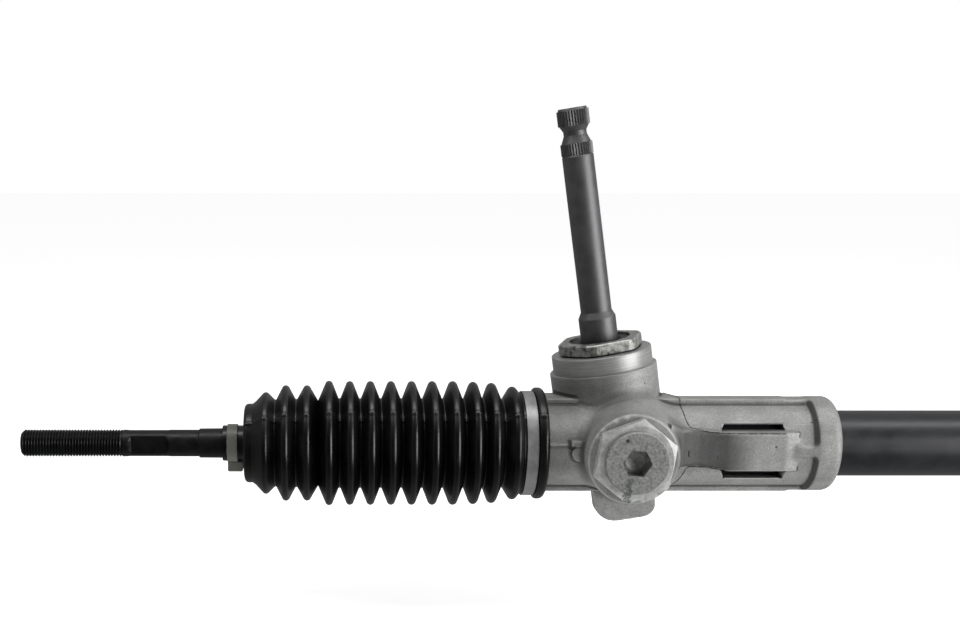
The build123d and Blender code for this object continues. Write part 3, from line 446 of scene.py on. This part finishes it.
# A turned surface: each profile point (height, radius) goes round the axis, radius scaled by shape(height, angle)
def lathe(
    name, profile, around, body, material, origin=(0, 0, 0), axis=(1, 0, 0), start=(0, 0, 1),
    closed=True, shape=None, sharp=35.0,
):
    heights, radii = np.array(profile).T
    angle = np.arange(around) * 2 * np.pi / around
    axis, start = np.array(axis, float), np.array(start, float)
    side = np.cross(axis, start)
    radius = radii[:, None] + 0 * angle
    if shape is not None:
        radius = shape(heights[:, None] + 0 * angle, radius, angle[None, :])
    ring = start * np.cos(angle)[:, None] + side * np.sin(angle)[:, None]
    points = np.array(origin, float) + heights[:, None, None] * axis + radius[:, :, None] * ring
    points = points.reshape(-1, 3) * mm
    faces = gridFaces(len(heights), around, closed)
    piece = makeMesh(name, points, facingOut(points, faces).tolist(), body, material, sharp)
    travelled = np.concatenate([[0], np.cumsum(np.hypot(np.diff(heights), np.diff(radii)))])
    uv = piece.data.uv_layers.new(name="turned")
    corners = np.empty(len(piece.data.loops), dtype=np.int32)
    piece.data.loops.foreach_get("vertex_index", corners)
    turned = np.stack([angle[corners % around] * 20, travelled[corners // around]], axis=-1) * mm
    uv.data.foreach_set("uv", turned.ravel())
    if not closed:
        weld = bmesh.new()
        weld.from_mesh(piece.data)
        bmesh.ops.remove_doubles(weld, verts=weld.verts, dist=1e-7)
        weld.to_mesh(piece.data)
        weld.free()
    return piece


# A profile whose corners (height, radius, rounding) turn in arcs
def roundedProfile(corners, step=0.35, closed=True):
    given = np.array([c[:2] for c in corners], float)
    rounding = [c[2] for c in corners]
    path = []
    for k, corner in enumerate(given):
        if not closed and k in (0, len(given) - 1):
            path.append(corner)
            continue
        before, after = given[k - 1] - corner, given[(k + 1) % len(given)] - corner
        lengths = np.linalg.norm(before), np.linalg.norm(after)
        before, after = before / lengths[0], after / lengths[1]
        half = math.acos(max(-1, min(1, float(before @ after)))) / 2
        if rounding[k] <= 0 or half > math.pi / 2 - 0.01:
            path.append(corner)
            continue
        cut = min(rounding[k] / math.tan(half), 0.499 * min(lengths))
        radius = cut * math.tan(half)
        centre = corner + (before + after) / np.linalg.norm(before + after) * radius / math.sin(half)
        first = corner + before * cut - centre
        turn = math.pi - 2 * half
        sense = 1 if before[0] * after[1] - before[1] * after[0] < 0 else -1
        count = max(2, int(math.ceil(radius * turn / step)))
        for share in np.linspace(0, 1, count + 1):
            a = sense * turn * share
            path.append(centre + np.array([
                first[0] * math.cos(a) - first[1] * math.sin(a),
                first[0] * math.sin(a) + first[1] * math.cos(a),
            ]))
    return [tuple(p) for p in path]


# The casting's skin is the zero level of a distance, blended where walls run into each other
casting = {
    "voxel": 0.87,  # keeps the casting under 200,000 triangles
    "low": (-55.0, -41.0, -49.0),  # corners of the block that is sampled
    "high": (111.5, 46.0, 45.0),
    "hollowReach": 1.7,
    "barrel": 21.5,
    "spigot": (-53.0, -39.5, 23.75, 1.0),  # start, end, radius, chamfer
    "collar": (93.9, 108.2, 24.25, 4.5),  # start, end, radius, rounding
    "ribHalf": 5.0,
    "ribTop": (24.0, 83.6, 23.6),  # height, where it steps down, height beyond
    "ribBottom": (-24.3, 87.4, -23.8),
    "webEnd": 32.0,
    "webBack": 13.0,
    "webThickness": 5.0,
    "tower": (27.36, 15.5, 36.8),  # radius, foot of the cone, top
    "lug": (16.0, 16.5, 2.5, 14.0, -41.4),  # half width, front, cheek, back radius, bottom
    "lugCorners": (11.5, 7.2),
    "boss": (27.4, 22.6, 38.4, 0.8),  # root radius, front radius, front, edge
    "bossSlant": 0.19,  # how far its middle moves along the rack for each mm behind its front
    "arm": (18.0, 52.0, 84.6, 9.9),  # start, flat from, end, half height
    "armTop": [(17.0, 17.4), (25.0, 13.4), (30.5, 12.0), (38.5, 11.0), (46.0, 10.3)],
    "armBottom": [(46.0, -8.6), (36.0, -6.4), (18.0, -6.0)],
    "armFront": (36.0, 22.6),
    "armBend": (10.0, 2.0, 18.0),
    "key": (0.6, 3.3),  # middle, half height
    "pocket": (2.0, 0.65, 31.0),  # corner radius, slant of its wall, where it ends round the girth
    "windowTop": (63.4, 15.9, 11.8, 1.35, 1.9, 0.7),  # middle, half length, height, half height, slants of its ends
    "windowLow": (65.0, 16.2, -12.3, 2.5, 2.2, 0.7),
    "tab": (-23.5, 4.5, 6.1, 2.8, 23.4),  # middle, half width, top, bottom, reach
    "pin": (-23.2, -0.5, 4.2),  # middle, height, radius
    "seam": (3.7, 0.5, 0.5),  # height, half width, how far it stands out
    "rackBore": (13.5, 16.85, 45.0),  # bore, tube's bore, where the tube starts
    "pinionBore": (12.6, 18.5, 21.5),  # well, bearing, behind the nut's thread
    "yokeBore": (15.03, 32.5, 15.6),
    "blend": {"tower": 2.0, "boss": 5.0, "lug": 2.0, "rib": 0.5, "arm": 0.8, "web": 0.6},
    "pinionOffset": 16.0,
    "pinionLean": math.radians(9.3),
}
leanSin, leanCos = math.sin(casting["pinionLean"]), math.cos(casting["pinionLean"])


# Distance to a closed outline: to its nearest side, below zero where a ray crosses it an odd number of times
def outlineDistance(u, v, corners):
    nearest = np.full(u.shape, 1e9, u.dtype)
    inside = np.zeros(u.shape, bool)
    for (au, av), (bu, bv) in zip(corners, corners[1:] + corners[:1]):
        du, dv = bu - au, bv - av
        share = np.clip(((u - au) * du + (v - av) * dv) / (du * du + dv * dv), 0, 1)
        nearest = np.minimum(nearest, (u - au - du * share) ** 2 + (v - av - dv * share) ** 2)
        if dv:
            inside ^= ((av > v) != (bv > v)) & (u < du * (v - av) / dv + au)
    return np.where(inside, -1, 1) * np.sqrt(nearest)


# An outline given a thickness: both distances below zero inside, their hypotenuse outside, edges rounded off
def thickened(flat, across, edge=0.0):
    flat, across = flat + edge, across + edge
    return np.minimum(np.maximum(flat, across), 0) + np.hypot(np.maximum(flat, 0), np.maximum(across, 0)) - edge


# Smooth union: where two distances differ by less than the width, a quarter of the overlap's square is taken off
def joined(first, second, width):
    overlap = np.maximum(width - np.abs(first - second), 0) / width
    return np.minimum(first, second) - overlap ** 2 * width / 4


def cutBy(body, tool, width=0.0):
    return -joined(-body, tool, width) if width else np.maximum(body, -tool)


def arc(centre, radius, first, last, count=8):
    angles = np.radians(np.linspace(first, last, count))
    return [(centre[0] + radius * math.cos(a), centre[1] + radius * math.sin(a)) for a in angles]


def castingDistance(x, y, z):
    c = casting
    soft = c["blend"]
    fromAxis = np.hypot(y, z)
    start, end, spigot, edge = c["spigot"]
    left, right, collarRadius, rounding = c["collar"]
    deep = -60.0  # beyond any axis, so that no side of an outline lies on it
    barrel = outlineDistance(fromAxis, x, [
        (deep, start), (spigot - edge, start), (spigot, start + edge), (spigot, end - edge), (spigot - edge, end),
        (c["barrel"], end), (c["barrel"], right - 1), (deep, right - 1),
    ])
    armEnd = c["arm"][2]
    collar = outlineDistance(fromAxis, x, [
        (deep, armEnd - 4), (21.0, armEnd - 4), (22.5, armEnd + 2),
        (collarRadius - 0.4, left + 0.5), (collarRadius, left + 2.5),
        *arc((collarRadius - rounding, right - rounding), rounding, 0, 90), (deep, right),
    ])
    key, keyHalf = c["key"]
    corner, wallSlant, pocketEnd = c["pocket"]
    girth = np.arctan2(z, np.abs(y)) * 23
    pocket = np.minimum(*[outlineDistance(x, girth, [
        (armEnd - 9, near), (left - corner, near), (left - corner, far), (armEnd - 9, far),
    ]) for near, far in ((key + keyHalf + corner, pocketEnd - corner), (key - keyHalf - corner, corner - pocketEnd))])
    behind = outlineDistance(x, girth, [
        (armEnd - 9, corner - pocketEnd), (left - corner, corner - pocketEnd),
        (left - corner, pocketEnd - corner), (armEnd - 9, pocketEnd - corner),
    ])
    pocket = np.where(y < 0, pocket, behind) - corner - (fromAxis - c["barrel"]) * wallSlant
    collar = cutBy(collar, np.maximum(pocket, c["barrel"] - 0.6 - fromAxis), 0.5)
    top, topStep, topBeyond = c["ribTop"]
    bottom, bottomStep, bottomBeyond = c["ribBottom"]
    ribs = outlineDistance(x, z, [
        (end, bottom), (bottomStep, bottom), (bottomStep + 0.4, bottomBeyond), (left + 2, bottomBeyond),
        (left + 2, topBeyond), (topStep + 0.4, topBeyond), (topStep, top), (end, top),
    ])
    ribs = thickened(ribs, np.abs(y) - c["ribHalf"], 0.3)
    web = outlineDistance(x, y, [
        (end, -c["ribHalf"]), (c["webEnd"], -c["ribHalf"]),
        (c["webEnd"] - c["webBack"] / 2, c["webBack"]), (end, c["webBack"]),
    ])
    web = thickened(web, np.abs(z - top + c["webThickness"] / 2) - c["webThickness"] / 2, 0.5)

    back = y - c["pinionOffset"]
    up = z * leanCos - x * leanSin
    across = x * leanCos + z * leanSin
    towerRadius, foot, towerTop = c["tower"]
    tower = outlineDistance(np.hypot(across, back), up, [
        (deep, 0), (0, 0), (towerRadius, foot), (towerRadius, towerTop), (deep, towerTop),
    ])
    half, front, cheek, backRadius, low = c["lug"]
    cornerLeft, cornerRight = c["lugCorners"]
    lugPlan = outlineDistance(across, back, [
        (-backRadius, 0), (-half, cheek - front), (-half, -front), (half, -front), (half, cheek - front),
        *arc((0, 0), backRadius, 0, 180, 16),
    ])
    lugFront = outlineDistance(across, up, [
        *arc((-half + cornerLeft, low + cornerLeft), cornerLeft, 180, 270),
        *arc((half - cornerRight, low + cornerRight), cornerRight, 270, 360),
        (half, foot), (-half, foot),
    ])
    lug = thickened(lugPlan, lugFront, 0.6)

    root, bossFrontRadius, bossFront, bossEdge = c["boss"]
    aside = x - c["bossSlant"] * np.clip(bossFront + y, 0, 26)
    boss = outlineDistance(np.hypot(aside, z), -y, [
        (deep, 0), (root, 0), (bossFrontRadius, bossFront - bossEdge),
        (bossFrontRadius - bossEdge, bossFront), (deep, bossFront),
    ])

    armStart, flatFrom, _, halfArm = c["arm"]
    sweepTop, flatFront = c["armFront"]
    pull = c["armBend"]
    t = np.linspace(0, 1, 9)[:, None]
    handles = np.array([
        (armStart, -sweepTop), (armStart + pull[0], -flatFront - pull[1]),
        (flatFrom - pull[2], -flatFront), (flatFrom, -flatFront),
    ])
    weights = ((1 - t) ** 3, 3 * t * (1 - t) ** 2, 3 * t ** 2 * (1 - t), t ** 3)  # of a cubic curve
    sweep = sum(weight * handle for weight, handle in zip(weights, handles))
    plan = outlineDistance(x, y, [
        *[tuple(p) for p in sweep], (armEnd - 5, -flatFront), (armEnd + 2, 1.9 - flatFront),
        (armEnd + 2, -10.0), (armStart, -10.0),
    ])
    face = outlineDistance(x, z, [
        *c["armTop"], (flatFrom + 2, halfArm), (armEnd + 2, halfArm),
        (armEnd + 2, -halfArm), (flatFrom, -halfArm), *c["armBottom"],
    ])
    arm = thickened(plan, face, 1.2)

    middle, tabHalf, tabHigh, tabLow, reach = c["tab"]
    tab = outlineDistance(x, z, [
        (middle - tabHalf, tabHigh), (middle + tabHalf, tabHigh),
        (middle + tabHalf, tabLow), (middle - tabHalf, tabLow),
    ])
    tab = thickened(tab, np.abs(y + reach - 3) - 3, 0.4)
    pinX, pinZ, pinRadius = c["pin"]
    pin = thickened(np.hypot(x - pinX, z - pinZ) - pinRadius, np.abs(y + reach - 3.8) - 3.4, 0.6)
    seamHeight, seamHalf, seamOut = c["seam"]
    pastEnds = np.maximum(np.abs(x - (end + middle) / 2) - (middle - end) / 2, 0)
    seam = thickened(np.hypot(pastEnds, z - seamHeight) - seamHalf, fromAxis - c["barrel"] - seamOut, 0.2)

    form = joined(barrel, tower, soft["tower"])
    form = joined(form, lug, soft["lug"])
    raised = joined(joined(ribs, collar, soft["rib"]), arm, soft["arm"])
    form = joined(form, boss, soft["boss"])
    form = joined(form, joined(raised, web, soft["web"]), soft["rib"])
    form = joined(form, joined(tab, pin, 0.5), 0.8)
    form = joined(form, np.maximum(seam, -y - 40), 0.8)

    for window in ("windowTop", "windowLow"):
        middle, half, height, tall, slantLeft, slantRight = c[window]
        near, far = height - math.copysign(tall, height), height + math.copysign(tall, height)
        slot = outlineDistance(x, z, [
            (middle - half, near), (middle + half, near),
            (middle + half - slantRight, far), (middle - half + slantLeft, far),
        ])
        form = cutBy(form, np.maximum(slot, y + 5), 0.4)
    bore, tubeBore, tubeStart = c["rackBore"]
    form = cutBy(form, outlineDistance(fromAxis, x, [
        (deep, start - 9), (bore + 1, start - 9), (bore + 1, start), (bore, start + 1), (bore, tubeStart),
        (tubeBore - 0.4, tubeStart), (tubeBore - 0.4, right + 9), (deep, right + 9),
    ]))
    well, bearing, thread = c["pinionBore"]
    form = cutBy(form, outlineDistance(np.hypot(across, back), up, [
        (deep, -38), (9, -38), (9, -22), (well, -18), (well, 24), (bearing, 24), (bearing, 33),
        (thread, 33), (thread, 60), (deep, 60),
    ]))
    yoke, yokeEnd, plug = c["yokeBore"]
    return cutBy(form, outlineDistance(np.hypot(x, z), -y, [
        (deep, 0), (yoke, 0), (yoke, yokeEnd), (plug - 0.3, yokeEnd), (plug - 0.3, 60), (deep, 60),
    ]))


# Points moved along the slope of the distance until they lie on the zero level
def settle(points, times=2, reach=0.05):
    for _ in range(times):
        here = castingDistance(*points.T)
        slope = np.stack([
            castingDistance(*(points + reach * axis).T) - here for axis in np.eye(3)
        ], axis=-1) / reach
        steep = np.maximum((slope ** 2).sum(axis=1), 0.2)
        points = points - np.clip(here / steep, -0.5, 0.5)[:, None] * slope
    return points


# How closed-in a point is: one less the distance met when going out by the reach, over the reach
def hollowness(points, reach, small=0.05):
    here = castingDistance(*points.T)
    slope = np.stack([castingDistance(*(points + small * axis).T) - here for axis in np.eye(3)], axis=-1)
    slope /= np.maximum(np.linalg.norm(slope, axis=1), 1e-6)[:, None]
    return np.clip(1 - castingDistance(*(points + slope * reach).T) / reach, 0, 1)


def makeCasting():
    voxel = casting["voxel"] * 1
    low, high = np.array(casting["low"]), np.array(casting["high"])
    counts = np.ceil((high - low) / voxel).astype(int)
    axes = [low[k] + voxel * np.arange(counts[k]) for k in range(3)]
    x, y, z = np.meshgrid(*[a.astype(np.float32) for a in axes], indexing="ij")
    grid = openvdb.FloatGrid(5.0)
    grid.copyFromArray(castingDistance(x, y, z).astype(np.float32))
    points, quads = grid.convertToQuads(isovalue=0.0)
    points = settle(low + np.array(points, float) * voxel)
    faces = facingOut(points * mm, np.array(quads, dtype=np.int64))
    piece = makeMesh("castHousing", points * mm, faces.tolist(), "housing", castAluminium, 40)
    # how closed-in each point is, used for the painted shade in the casting's corners
    hollow = piece.data.attributes.new("hollow", "FLOAT", "POINT")
    hollow.data.foreach_set("value", hollowness(points, casting["hollowReach"]).astype(np.float32))
    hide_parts("housing")
    print("casting:", len(points), "points")


makeCasting()

# The turned end of the tower, crisp above the cast wall
towerEnd = {
    "rim": [(24.0, 22.5, 0), (24.0, 27.1, 0), (34.0, 27.37, 0), (37.7, 27.37, 0.35), (37.7, 24.0, 0)],
    "ring": [
        (37.72, 22.5, 0), (37.72, 25.5, 0.15), (46.6, 25.5, 0.5), (46.6, 20.5, 0), (46.1, 20.0, 0),
        (33.0, 20.0, 0), (33.0, 22.5, 0),
    ],
    "around": 192,
}
pinionFoot = (0, casting["pinionOffset"], 0)
pinionUp = (-leanSin, 0, leanCos)
pinionSide = (leanCos, 0, leanSin)


def makeTowerEnd(form):
    for part, name, material in (("rim", "towerRim", castAluminium), ("ring", "towerRing", turnedAluminium)):
        piece = lathe(
            name, roundedProfile(form[part], 0.2), form["around"], "housing", material,
            pinionFoot, pinionUp, pinionSide, sharp=25,
        )


makeTowerEnd(towerEnd)
print("tower end turned")

# Flash: a thin fin of metal left where the die's halves and slide met, drawn near black as a painted shadow line along
# it
flash = {
    "look": {"light": "#2e2e2d", "dark": "#1c1c1b", "rough": (0.4, 0.6), "blotch": 4.0, "grain": 0.4, "metal": 0.8},
    "halfWidth": 0.3,
    "step": 0.5,
    "upper": [
        (25.4, 13.4, 24.6), (27.4, 8, 24.8), (29.3, 0.4, 24.8), (29.4, -5.0, 24.4), (29.6, -5.3, 21.6),
        (29.8, -9.6, 19.2), (30.1, -13.3, 16.9), (30.6, -16.0, 14.3), (31.8, -18.2, 12.8), (34.0, -19.4, 11.9),
        (38.5, -22.9, 11.2), (43.6, -22.8, 10.7), (48.7, -22.6, 10.3), (55.0, -22.5, 10.0), (64.0, -22.5, 9.9),
        (73.0, -22.5, 9.9), (79.6, -22.5, 9.7),
    ],
    "lower": [
        (25.6, -9.9, -19.1), (26.6, -11.5, -18.2), (27.9, -13.6, -16.7), (28.8, -15.8, -14.6), (29.6, -17.9, -11.9),
        (30.4, -19.6, -8.9), (32.0, -20.2, -7.6), (35.0, -20.4, -7.8), (39.0, -20.6, -8.3), (44.5, -22.3, -8.6),
        (50.0, -22.5, -9.4),
    ],
}


def makeFlash(form, part):
    corners = np.array(form[part], float)
    lengths = np.concatenate([[0], np.cumsum(np.linalg.norm(np.diff(corners, axis=0), axis=1))])
    along = np.arange(0, lengths[-1], form["step"])
    path = np.stack([np.interp(along, lengths, corners[:, k]) for k in range(3)], axis=-1)
    for _ in range(3):
        path[1:-1] = (path[:-2] + 2 * path[1:-1] + path[2:]) / 4
    path = settle(path, 6)
    path[1:-1] = (path[:-2] + 2 * path[1:-1] + path[2:]) / 4
    ahead = np.gradient(path, axis=0)
    ahead /= np.linalg.norm(ahead, axis=1)[:, None]
    side = np.cross(ahead, [0.3, -0.9, 0.3])
    side /= np.linalg.norm(side, axis=1)[:, None]
    over = np.cross(side, ahead)
    wander = 0.75 + 0.25 * np.sin(along * 1.7) * np.sin(along * 0.61 + 1)
    wander[[0, -1]] = 0.05
    angle = np.arange(6) * np.pi / 3
    ring = side[:, None] * np.cos(angle)[None, :, None] + over[:, None] * np.sin(angle)[None, :, None]
    points = path[:, None] + ring * (form["halfWidth"] * wander)[:, None, None]
    faces = gridFaces(len(path), 6, False)
    points = points.reshape(-1, 3) * mm
    faces = facingOut(points, faces).tolist()
    piece = makeMesh("flash" + part.capitalize(), points, faces, "housing", flashShadowMetal)


# a near-black finish: painted shadow along the fin
flashShadowMetal = makeFinish("flashShadowMetal", flash["look"])
for part in ("upper", "lower"):
    makeFlash(flash, part)

# Marks of the ejector pins: a faint raised ring on the arm and a small square pad at its root
ejectors = {
    "look": {"light": "#a0a09e", "dark": "#868785", "rough": (0.5, 0.62), "blotch": 3.0, "grain": 0.5, "metal": 0.4},
    "ring": {
        "place": (67.6, -22.55, 1.9), "axis": (0, -1, 0),
        "profile": [(-0.3, 3.3), (0.06, 3.5), (0.1, 3.7), (0.05, 3.9), (-0.3, 4.1)],
    },
    "pad": {
        "place": (31.0, -25.5, 0.3), "axis": (0.42, -0.9, 0),
        "profile": [(-1.0, 1.35), (0.35, 1.3), (0.5, 1.1), (0.42, 0.5), (0.4, 0)],
    },
}


def makeEjectorMarks(form):
    ring, pad = form["ring"], form["pad"]
    mark = makeFinish("castMark", form["look"])
    piece = lathe("ejectorRing", ring["profile"], 64, "housing", mark, ring["place"], ring["axis"], (1, 0, 0))
    axis = np.array(pad["axis"]) / np.linalg.norm(pad["axis"])

    # a square: the circle's radius over the larger of the two direction cosines
    def square(height, radius, angle):
        along, across = np.abs(np.cos(angle)), np.abs(np.sin(angle))
        return radius / np.maximum(along, across) ** 0.9 * (1 + 0.25 * along ** 2)

    piece = lathe(
        "ejectorPad", pad["profile"], 48, "housing", castAluminium, pad["place"], axis, closed=False, shape=square,
    )


makeEjectorMarks(ejectors)
print("flash and ejector marks made")

# Bellows: folds with round crests and tight valleys, a beaded end in its band and a neck on the rod
bellows = {
    "middle": 181.1,  # the two are mirror images about it
    "seatRadius": {"left": 23.75, "right": 16.85},
    "seatWall": 2.3,
    "end": -39.0,
    "bead": (-43.9, 2.6, 2.9),  # where it ends, how far it stands out, rounding
    "seatEnd": -51.2,
    "crests": [(-54.9, 29.3), (-65.5, 31.2)]
    + [(-148.6 + 10.57 * k, 31.8) for k in reversed(range(8))]
    + [(-160.05, 29.5), (-170.9, 29.7), (-181.2, 26.3)],
    "crestRound": 2.0,
    "valley": (22.0, 0.6),
    "wall": 1.15,
    "split": 10,  # the valley after this many crests lies between the two halves
    "shoulder": [(-187.4, 20.3, 1.0), (-192.0, 20.4, 2.8), (-192.0, 9.15, 0.8), (-195.6, 9.15, 0.2), (-195.6, 8.7, 0)],
    "neck": [(-200.8, 8.7, 0), (-200.8, 9.15, 0.2), (-203.4, 9.15, 0.6), (-203.4, 7.95, 0.2)],
    "inside": [(-190.8, 7.95, 0.3), (-190.8, 18.1, 1.5)],
    "around": 176,
    "parting": math.radians(41),  # above the front
    "ridge": (0.8, 0.45, 19.0),  # half width, height, least radius where it shows
}


# A crest's corner lies above its arc by radius times (1 / sine of the half angle - 1)
def crestCorner(crest, reach, form):
    peak = crest[1]
    for _ in range(12):
        half = math.atan2(reach, peak - form["valley"][0])
        peak = crest[1] + form["crestRound"] * (1 / math.sin(half) - 1)
    return crest[0], peak, form["wall"] / math.sin(half)


def bellowsHalves(form, seat):
    crests = form["crests"]
    valleys = [(a[0] + b[0]) / 2 for a, b in zip(crests, crests[1:])]
    beadEnd, beadOut, beadRound = form["bead"]
    onSeat = seat + form["seatWall"]
    outer = [
        (form["end"], seat, 0.4), (form["end"], onSeat + beadOut, beadRound), (beadEnd, onSeat + beadOut, beadRound),
        (beadEnd, onSeat, 0.5), (form["seatEnd"], onSeat, 0.8),
    ]
    inner = [(form["seatEnd"], seat, 0.5)]
    halves = []
    for k, crest in enumerate(crests):
        x, peak, wall = crestCorner(crest, 5.2, form)
        if k == 0:
            peak = crest[1] + 1.2
        outer.append((x, peak, form["crestRound"]))
        inner.append((x, peak - wall, form["crestRound"] - form["wall"]))
        if k < len(valleys):
            low, sharpness = form["valley"]
            if k + 1 == form["split"]:
                halves.append(outer + [(valleys[k], low, 0), (valleys[k], low - 2.8, 0)] + inner[::-1])
                outer, inner = [(valleys[k], low, 0)], [(valleys[k], low - 2.8, 0)]
            else:
                outer.append((valleys[k], low, sharpness))
                inner.append((valleys[k], low - 2.8, 0.5))
    halves.append(outer + form["shoulder"] + form["neck"] + form["inside"] + inner[::-1])
    return halves, valleys[form["split"] - 1]


# Parting line of the mould, on both sides: the radius grows by the ridge times a bell curve across the line
def partingRidge(height, radius, angle):
    half, ridge, least = bellows["ridge"]
    away = (angle + bellows["parting"]) % math.pi - math.pi / 2
    return radius + np.where(radius > least, ridge, 0) * np.exp(-(away * radius / half) ** 2)


def makeBellows(form, side):
    halves, split = bellowsHalves(form, form["seatRadius"][side])
    place = (lambda x: x) if side == "left" else (lambda x: 2 * form["middle"] - x)
    ends = (form["seatEnd"], split, form["shoulder"][1][0])
    for k, corners in enumerate(halves):
        profile = [(place(x), r) for x, r in roundedProfile(corners, 0.45)]
        piece = lathe(
            side + "Bellows" + ("Large", "Small")[k], profile, form["around"], None, softs["rubber"],
            shape=partingRidge, sharp=50,
        )
        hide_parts(side + "_boot")
        place(ends[k]) * mm
        place(ends[k + 1]) * mm
        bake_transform(piece)


for side in ("left", "right"):
    makeBellows(bellows, side)
print("bellows made")

# Tie rod: ball, neck, shank, two wrench flats and a rolled M14 x 1.5 thread
tieRod = {
    "ball": (-138.9, 12.5),
    "neck": 6.5,
    "shank": [
        (-163.0, 6.5, 1.0), (-165.0, 7.65, 1.0), (-203.0, 7.65, 2.0), (-215.1, 7.55, 0.3), (-215.6, 6.9, 0.3),
        (-230.8, 6.9, 0.5), (-231.3, 6.75, 0.5), (-251.5, 6.75, 0.5), (-252.0, 6.9, 0.5), (-253.4, 6.9, 0),
    ],
    "flats": (-249.8, -232.4, 5.0, 1.2),  # start, end, half across, runout
    "thread": (-253.9, -306.7, 7.0, 1.5, 0.92),  # start, tip, radius, pitch, depth
    "tipChamfer": 1.5,
    "around": 72,
}


def makeTieRod(form, side):
    ballX, ballR = form["ball"]
    neckAngle = math.degrees(math.asin(form["neck"] / ballR))
    ball = [(ballX + x, r) for x, r in arc((0, 0), ballR, 0, 180 - neckAngle, 40)]
    start, tip, outer, pitch, depth = form["thread"]
    shank = roundedProfile([(*ball[-1], 0)] + form["shank"], 0.3, closed=False)[1:]
    long = [shank[0]]
    for after in shank[1:]:
        before = long[-1]
        nearFlats = form["flats"][0] - 2 < after[0] < form["flats"][1] + 20
        steps = max(1, int(abs(after[0] - before[0]) // 0.6)) if nearFlats else 1
        long += [tuple(b + (a - b) * k / steps for a, b in zip(after, before)) for k in range(1, steps + 1)]
    turns = np.arange(start, tip, -pitch / 10)
    tail = [(tip, outer - form["tipChamfer"]), (tip, 2.5), (tip, 0)]
    profile = ball + long + [(x, outer) for x in turns] + tail
    mirror = 1 if side == "left" else -1
    place = (lambda x: x) if side == "left" else (lambda x: 2 * bellows["middle"] - x)

    # radius of a 60 degree thread: a triangle wave along the helix, its crest cut flat and its root rounded
    def shape(height, radius, angle):
        x = height if side == "left" else 2 * bellows["middle"] - height
        phase = ((x - start) / pitch + mirror * angle / (2 * np.pi)) % 1
        fall = np.clip(1.12 * (1 - np.abs(2 * phase - 1)) - 0.14, 0, 0.9) / 0.9
        fade = np.clip((start - x) / 2.0, 0, 1)
        threaded = outer - depth * fall * fade
        threaded = np.minimum(threaded, outer - form["tipChamfer"] + np.maximum(x - tip, 0))
        inThread = (x < start + 0.01) & (x > tip + 0.01)
        radius = np.where(inThread, threaded, radius)
        flatStart, flatEnd, half, runout = form["flats"]
        beyond = np.maximum(np.maximum(flatStart - x, x - flatEnd), 0)
        limit = (half + beyond ** 2 / runout * 0.8) / np.maximum(np.abs(np.sin(angle)), 1e-3)
        return np.where(beyond < 2 * runout, np.minimum(radius, limit), radius)

    piece = lathe(
        side + "TieRod", [(place(x), r) for x, r in profile], form["around"], side + "_rod",
        metals["blackPhosphate"], closed=False, shape=shape, sharp=30,
    )
    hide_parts(side + "_tie_rod")


for side in ("left", "right"):
    makeTieRod(tieRod, side)
print("tie rods made")

# A pale floor well below the rods' swing, and a white studio that darkens towards the camera
studio = {
    "floorHeight": -85.0,
    "floorHalf": 6000.0,
    "floorGlow": 0.7,
    "floorBounce": 0.5,
    "white": "#ffffff",
    "fades": [("Y", -0.85, 0.0, 0.13), ("Z", -0.2, 0.7, 0.6), ("X", -0.8, 0.6, 0.5)],  # axis, from, to, least
    "worldStrength": 0.5,
    "lights": [
        ("topLight", (0, -150, 900), (2400, 200), 9.0),
        ("sideLight", (900, -600, 60), (800, 800), 12.0),
    ],
}


def makeStudio(place):
    half, height = place["floorHalf"] * mm, place["floorHeight"] * mm
    mesh = bpy.data.meshes.new("floor")
    corners = [(-half, -half, height), (half, -half, height), (half, half, height), (-half, half, height)]
    mesh.from_pydata(corners, [], [(0, 1, 2, 3)])
    floor = bpy.data.objects.new("floor", mesh)
    bpy.context.scene.collection.objects.link(floor)
    material, tree, shader = newMaterial("paleFloor", Roughness=0.9)
    shader.inputs["Base Color"].default_value = colour("#f4f4f4")
    shader.inputs["Emission Color"].default_value = (1, 1, 1, 1)
    seen = addNode(tree, "LightPath", output="Is Camera Ray")
    glow = addNode(tree, "MapRange", {0: seen, 3: place["floorBounce"], 4: place["floorGlow"]})
    tree.links.new(glow, shader.inputs["Emission Strength"])
    mesh.materials.append(material)
    floor.visible_glossy = False

    world = bpy.data.worlds.new("studio")
    bpy.context.scene.world = world
    world.use_nodes = True
    tree = world.node_tree
    background = tree.nodes["Background"]
    towards = addNode(tree, "SeparateXYZ", {0: addNode(tree, "TexCoord", output="Generated")}).node.outputs
    level = place["worldStrength"]
    for axis, low, high, least in place["fades"]:
        fade = addNode(tree, "MapRange", {0: towards[axis], 1: low, 2: high, 3: least})
        level = addNode(tree, "Math", {0: fade, 1: level}, operation="MULTIPLY")
    seen = addNode(tree, "LightPath", output="Is Camera Ray")
    strength = addNode(tree, "Mix", {0: seen, 2: level, 3: 1.0}, data_type="FLOAT")
    background.inputs["Color"].default_value = colour(place["white"])
    tree.links.new(strength, background.inputs["Strength"])

    for name, spot, size, watts in place["lights"]:
        data = bpy.data.lights.new(name, "AREA")
        data.shape = "RECTANGLE"
        data.size, data.size_y = [v * mm for v in size]
        data.energy = watts
        light = bpy.data.objects.new(name, data)
        light.location = [v * mm for v in spot]
        light.rotation_euler = (-mathutils.Vector(spot)).to_track_quat("-Z", "Y").to_euler()
        bpy.context.scene.collection.objects.link(light)
    bpy.context.scene.view_settings.view_transform = "Standard"


makeStudio(studio)
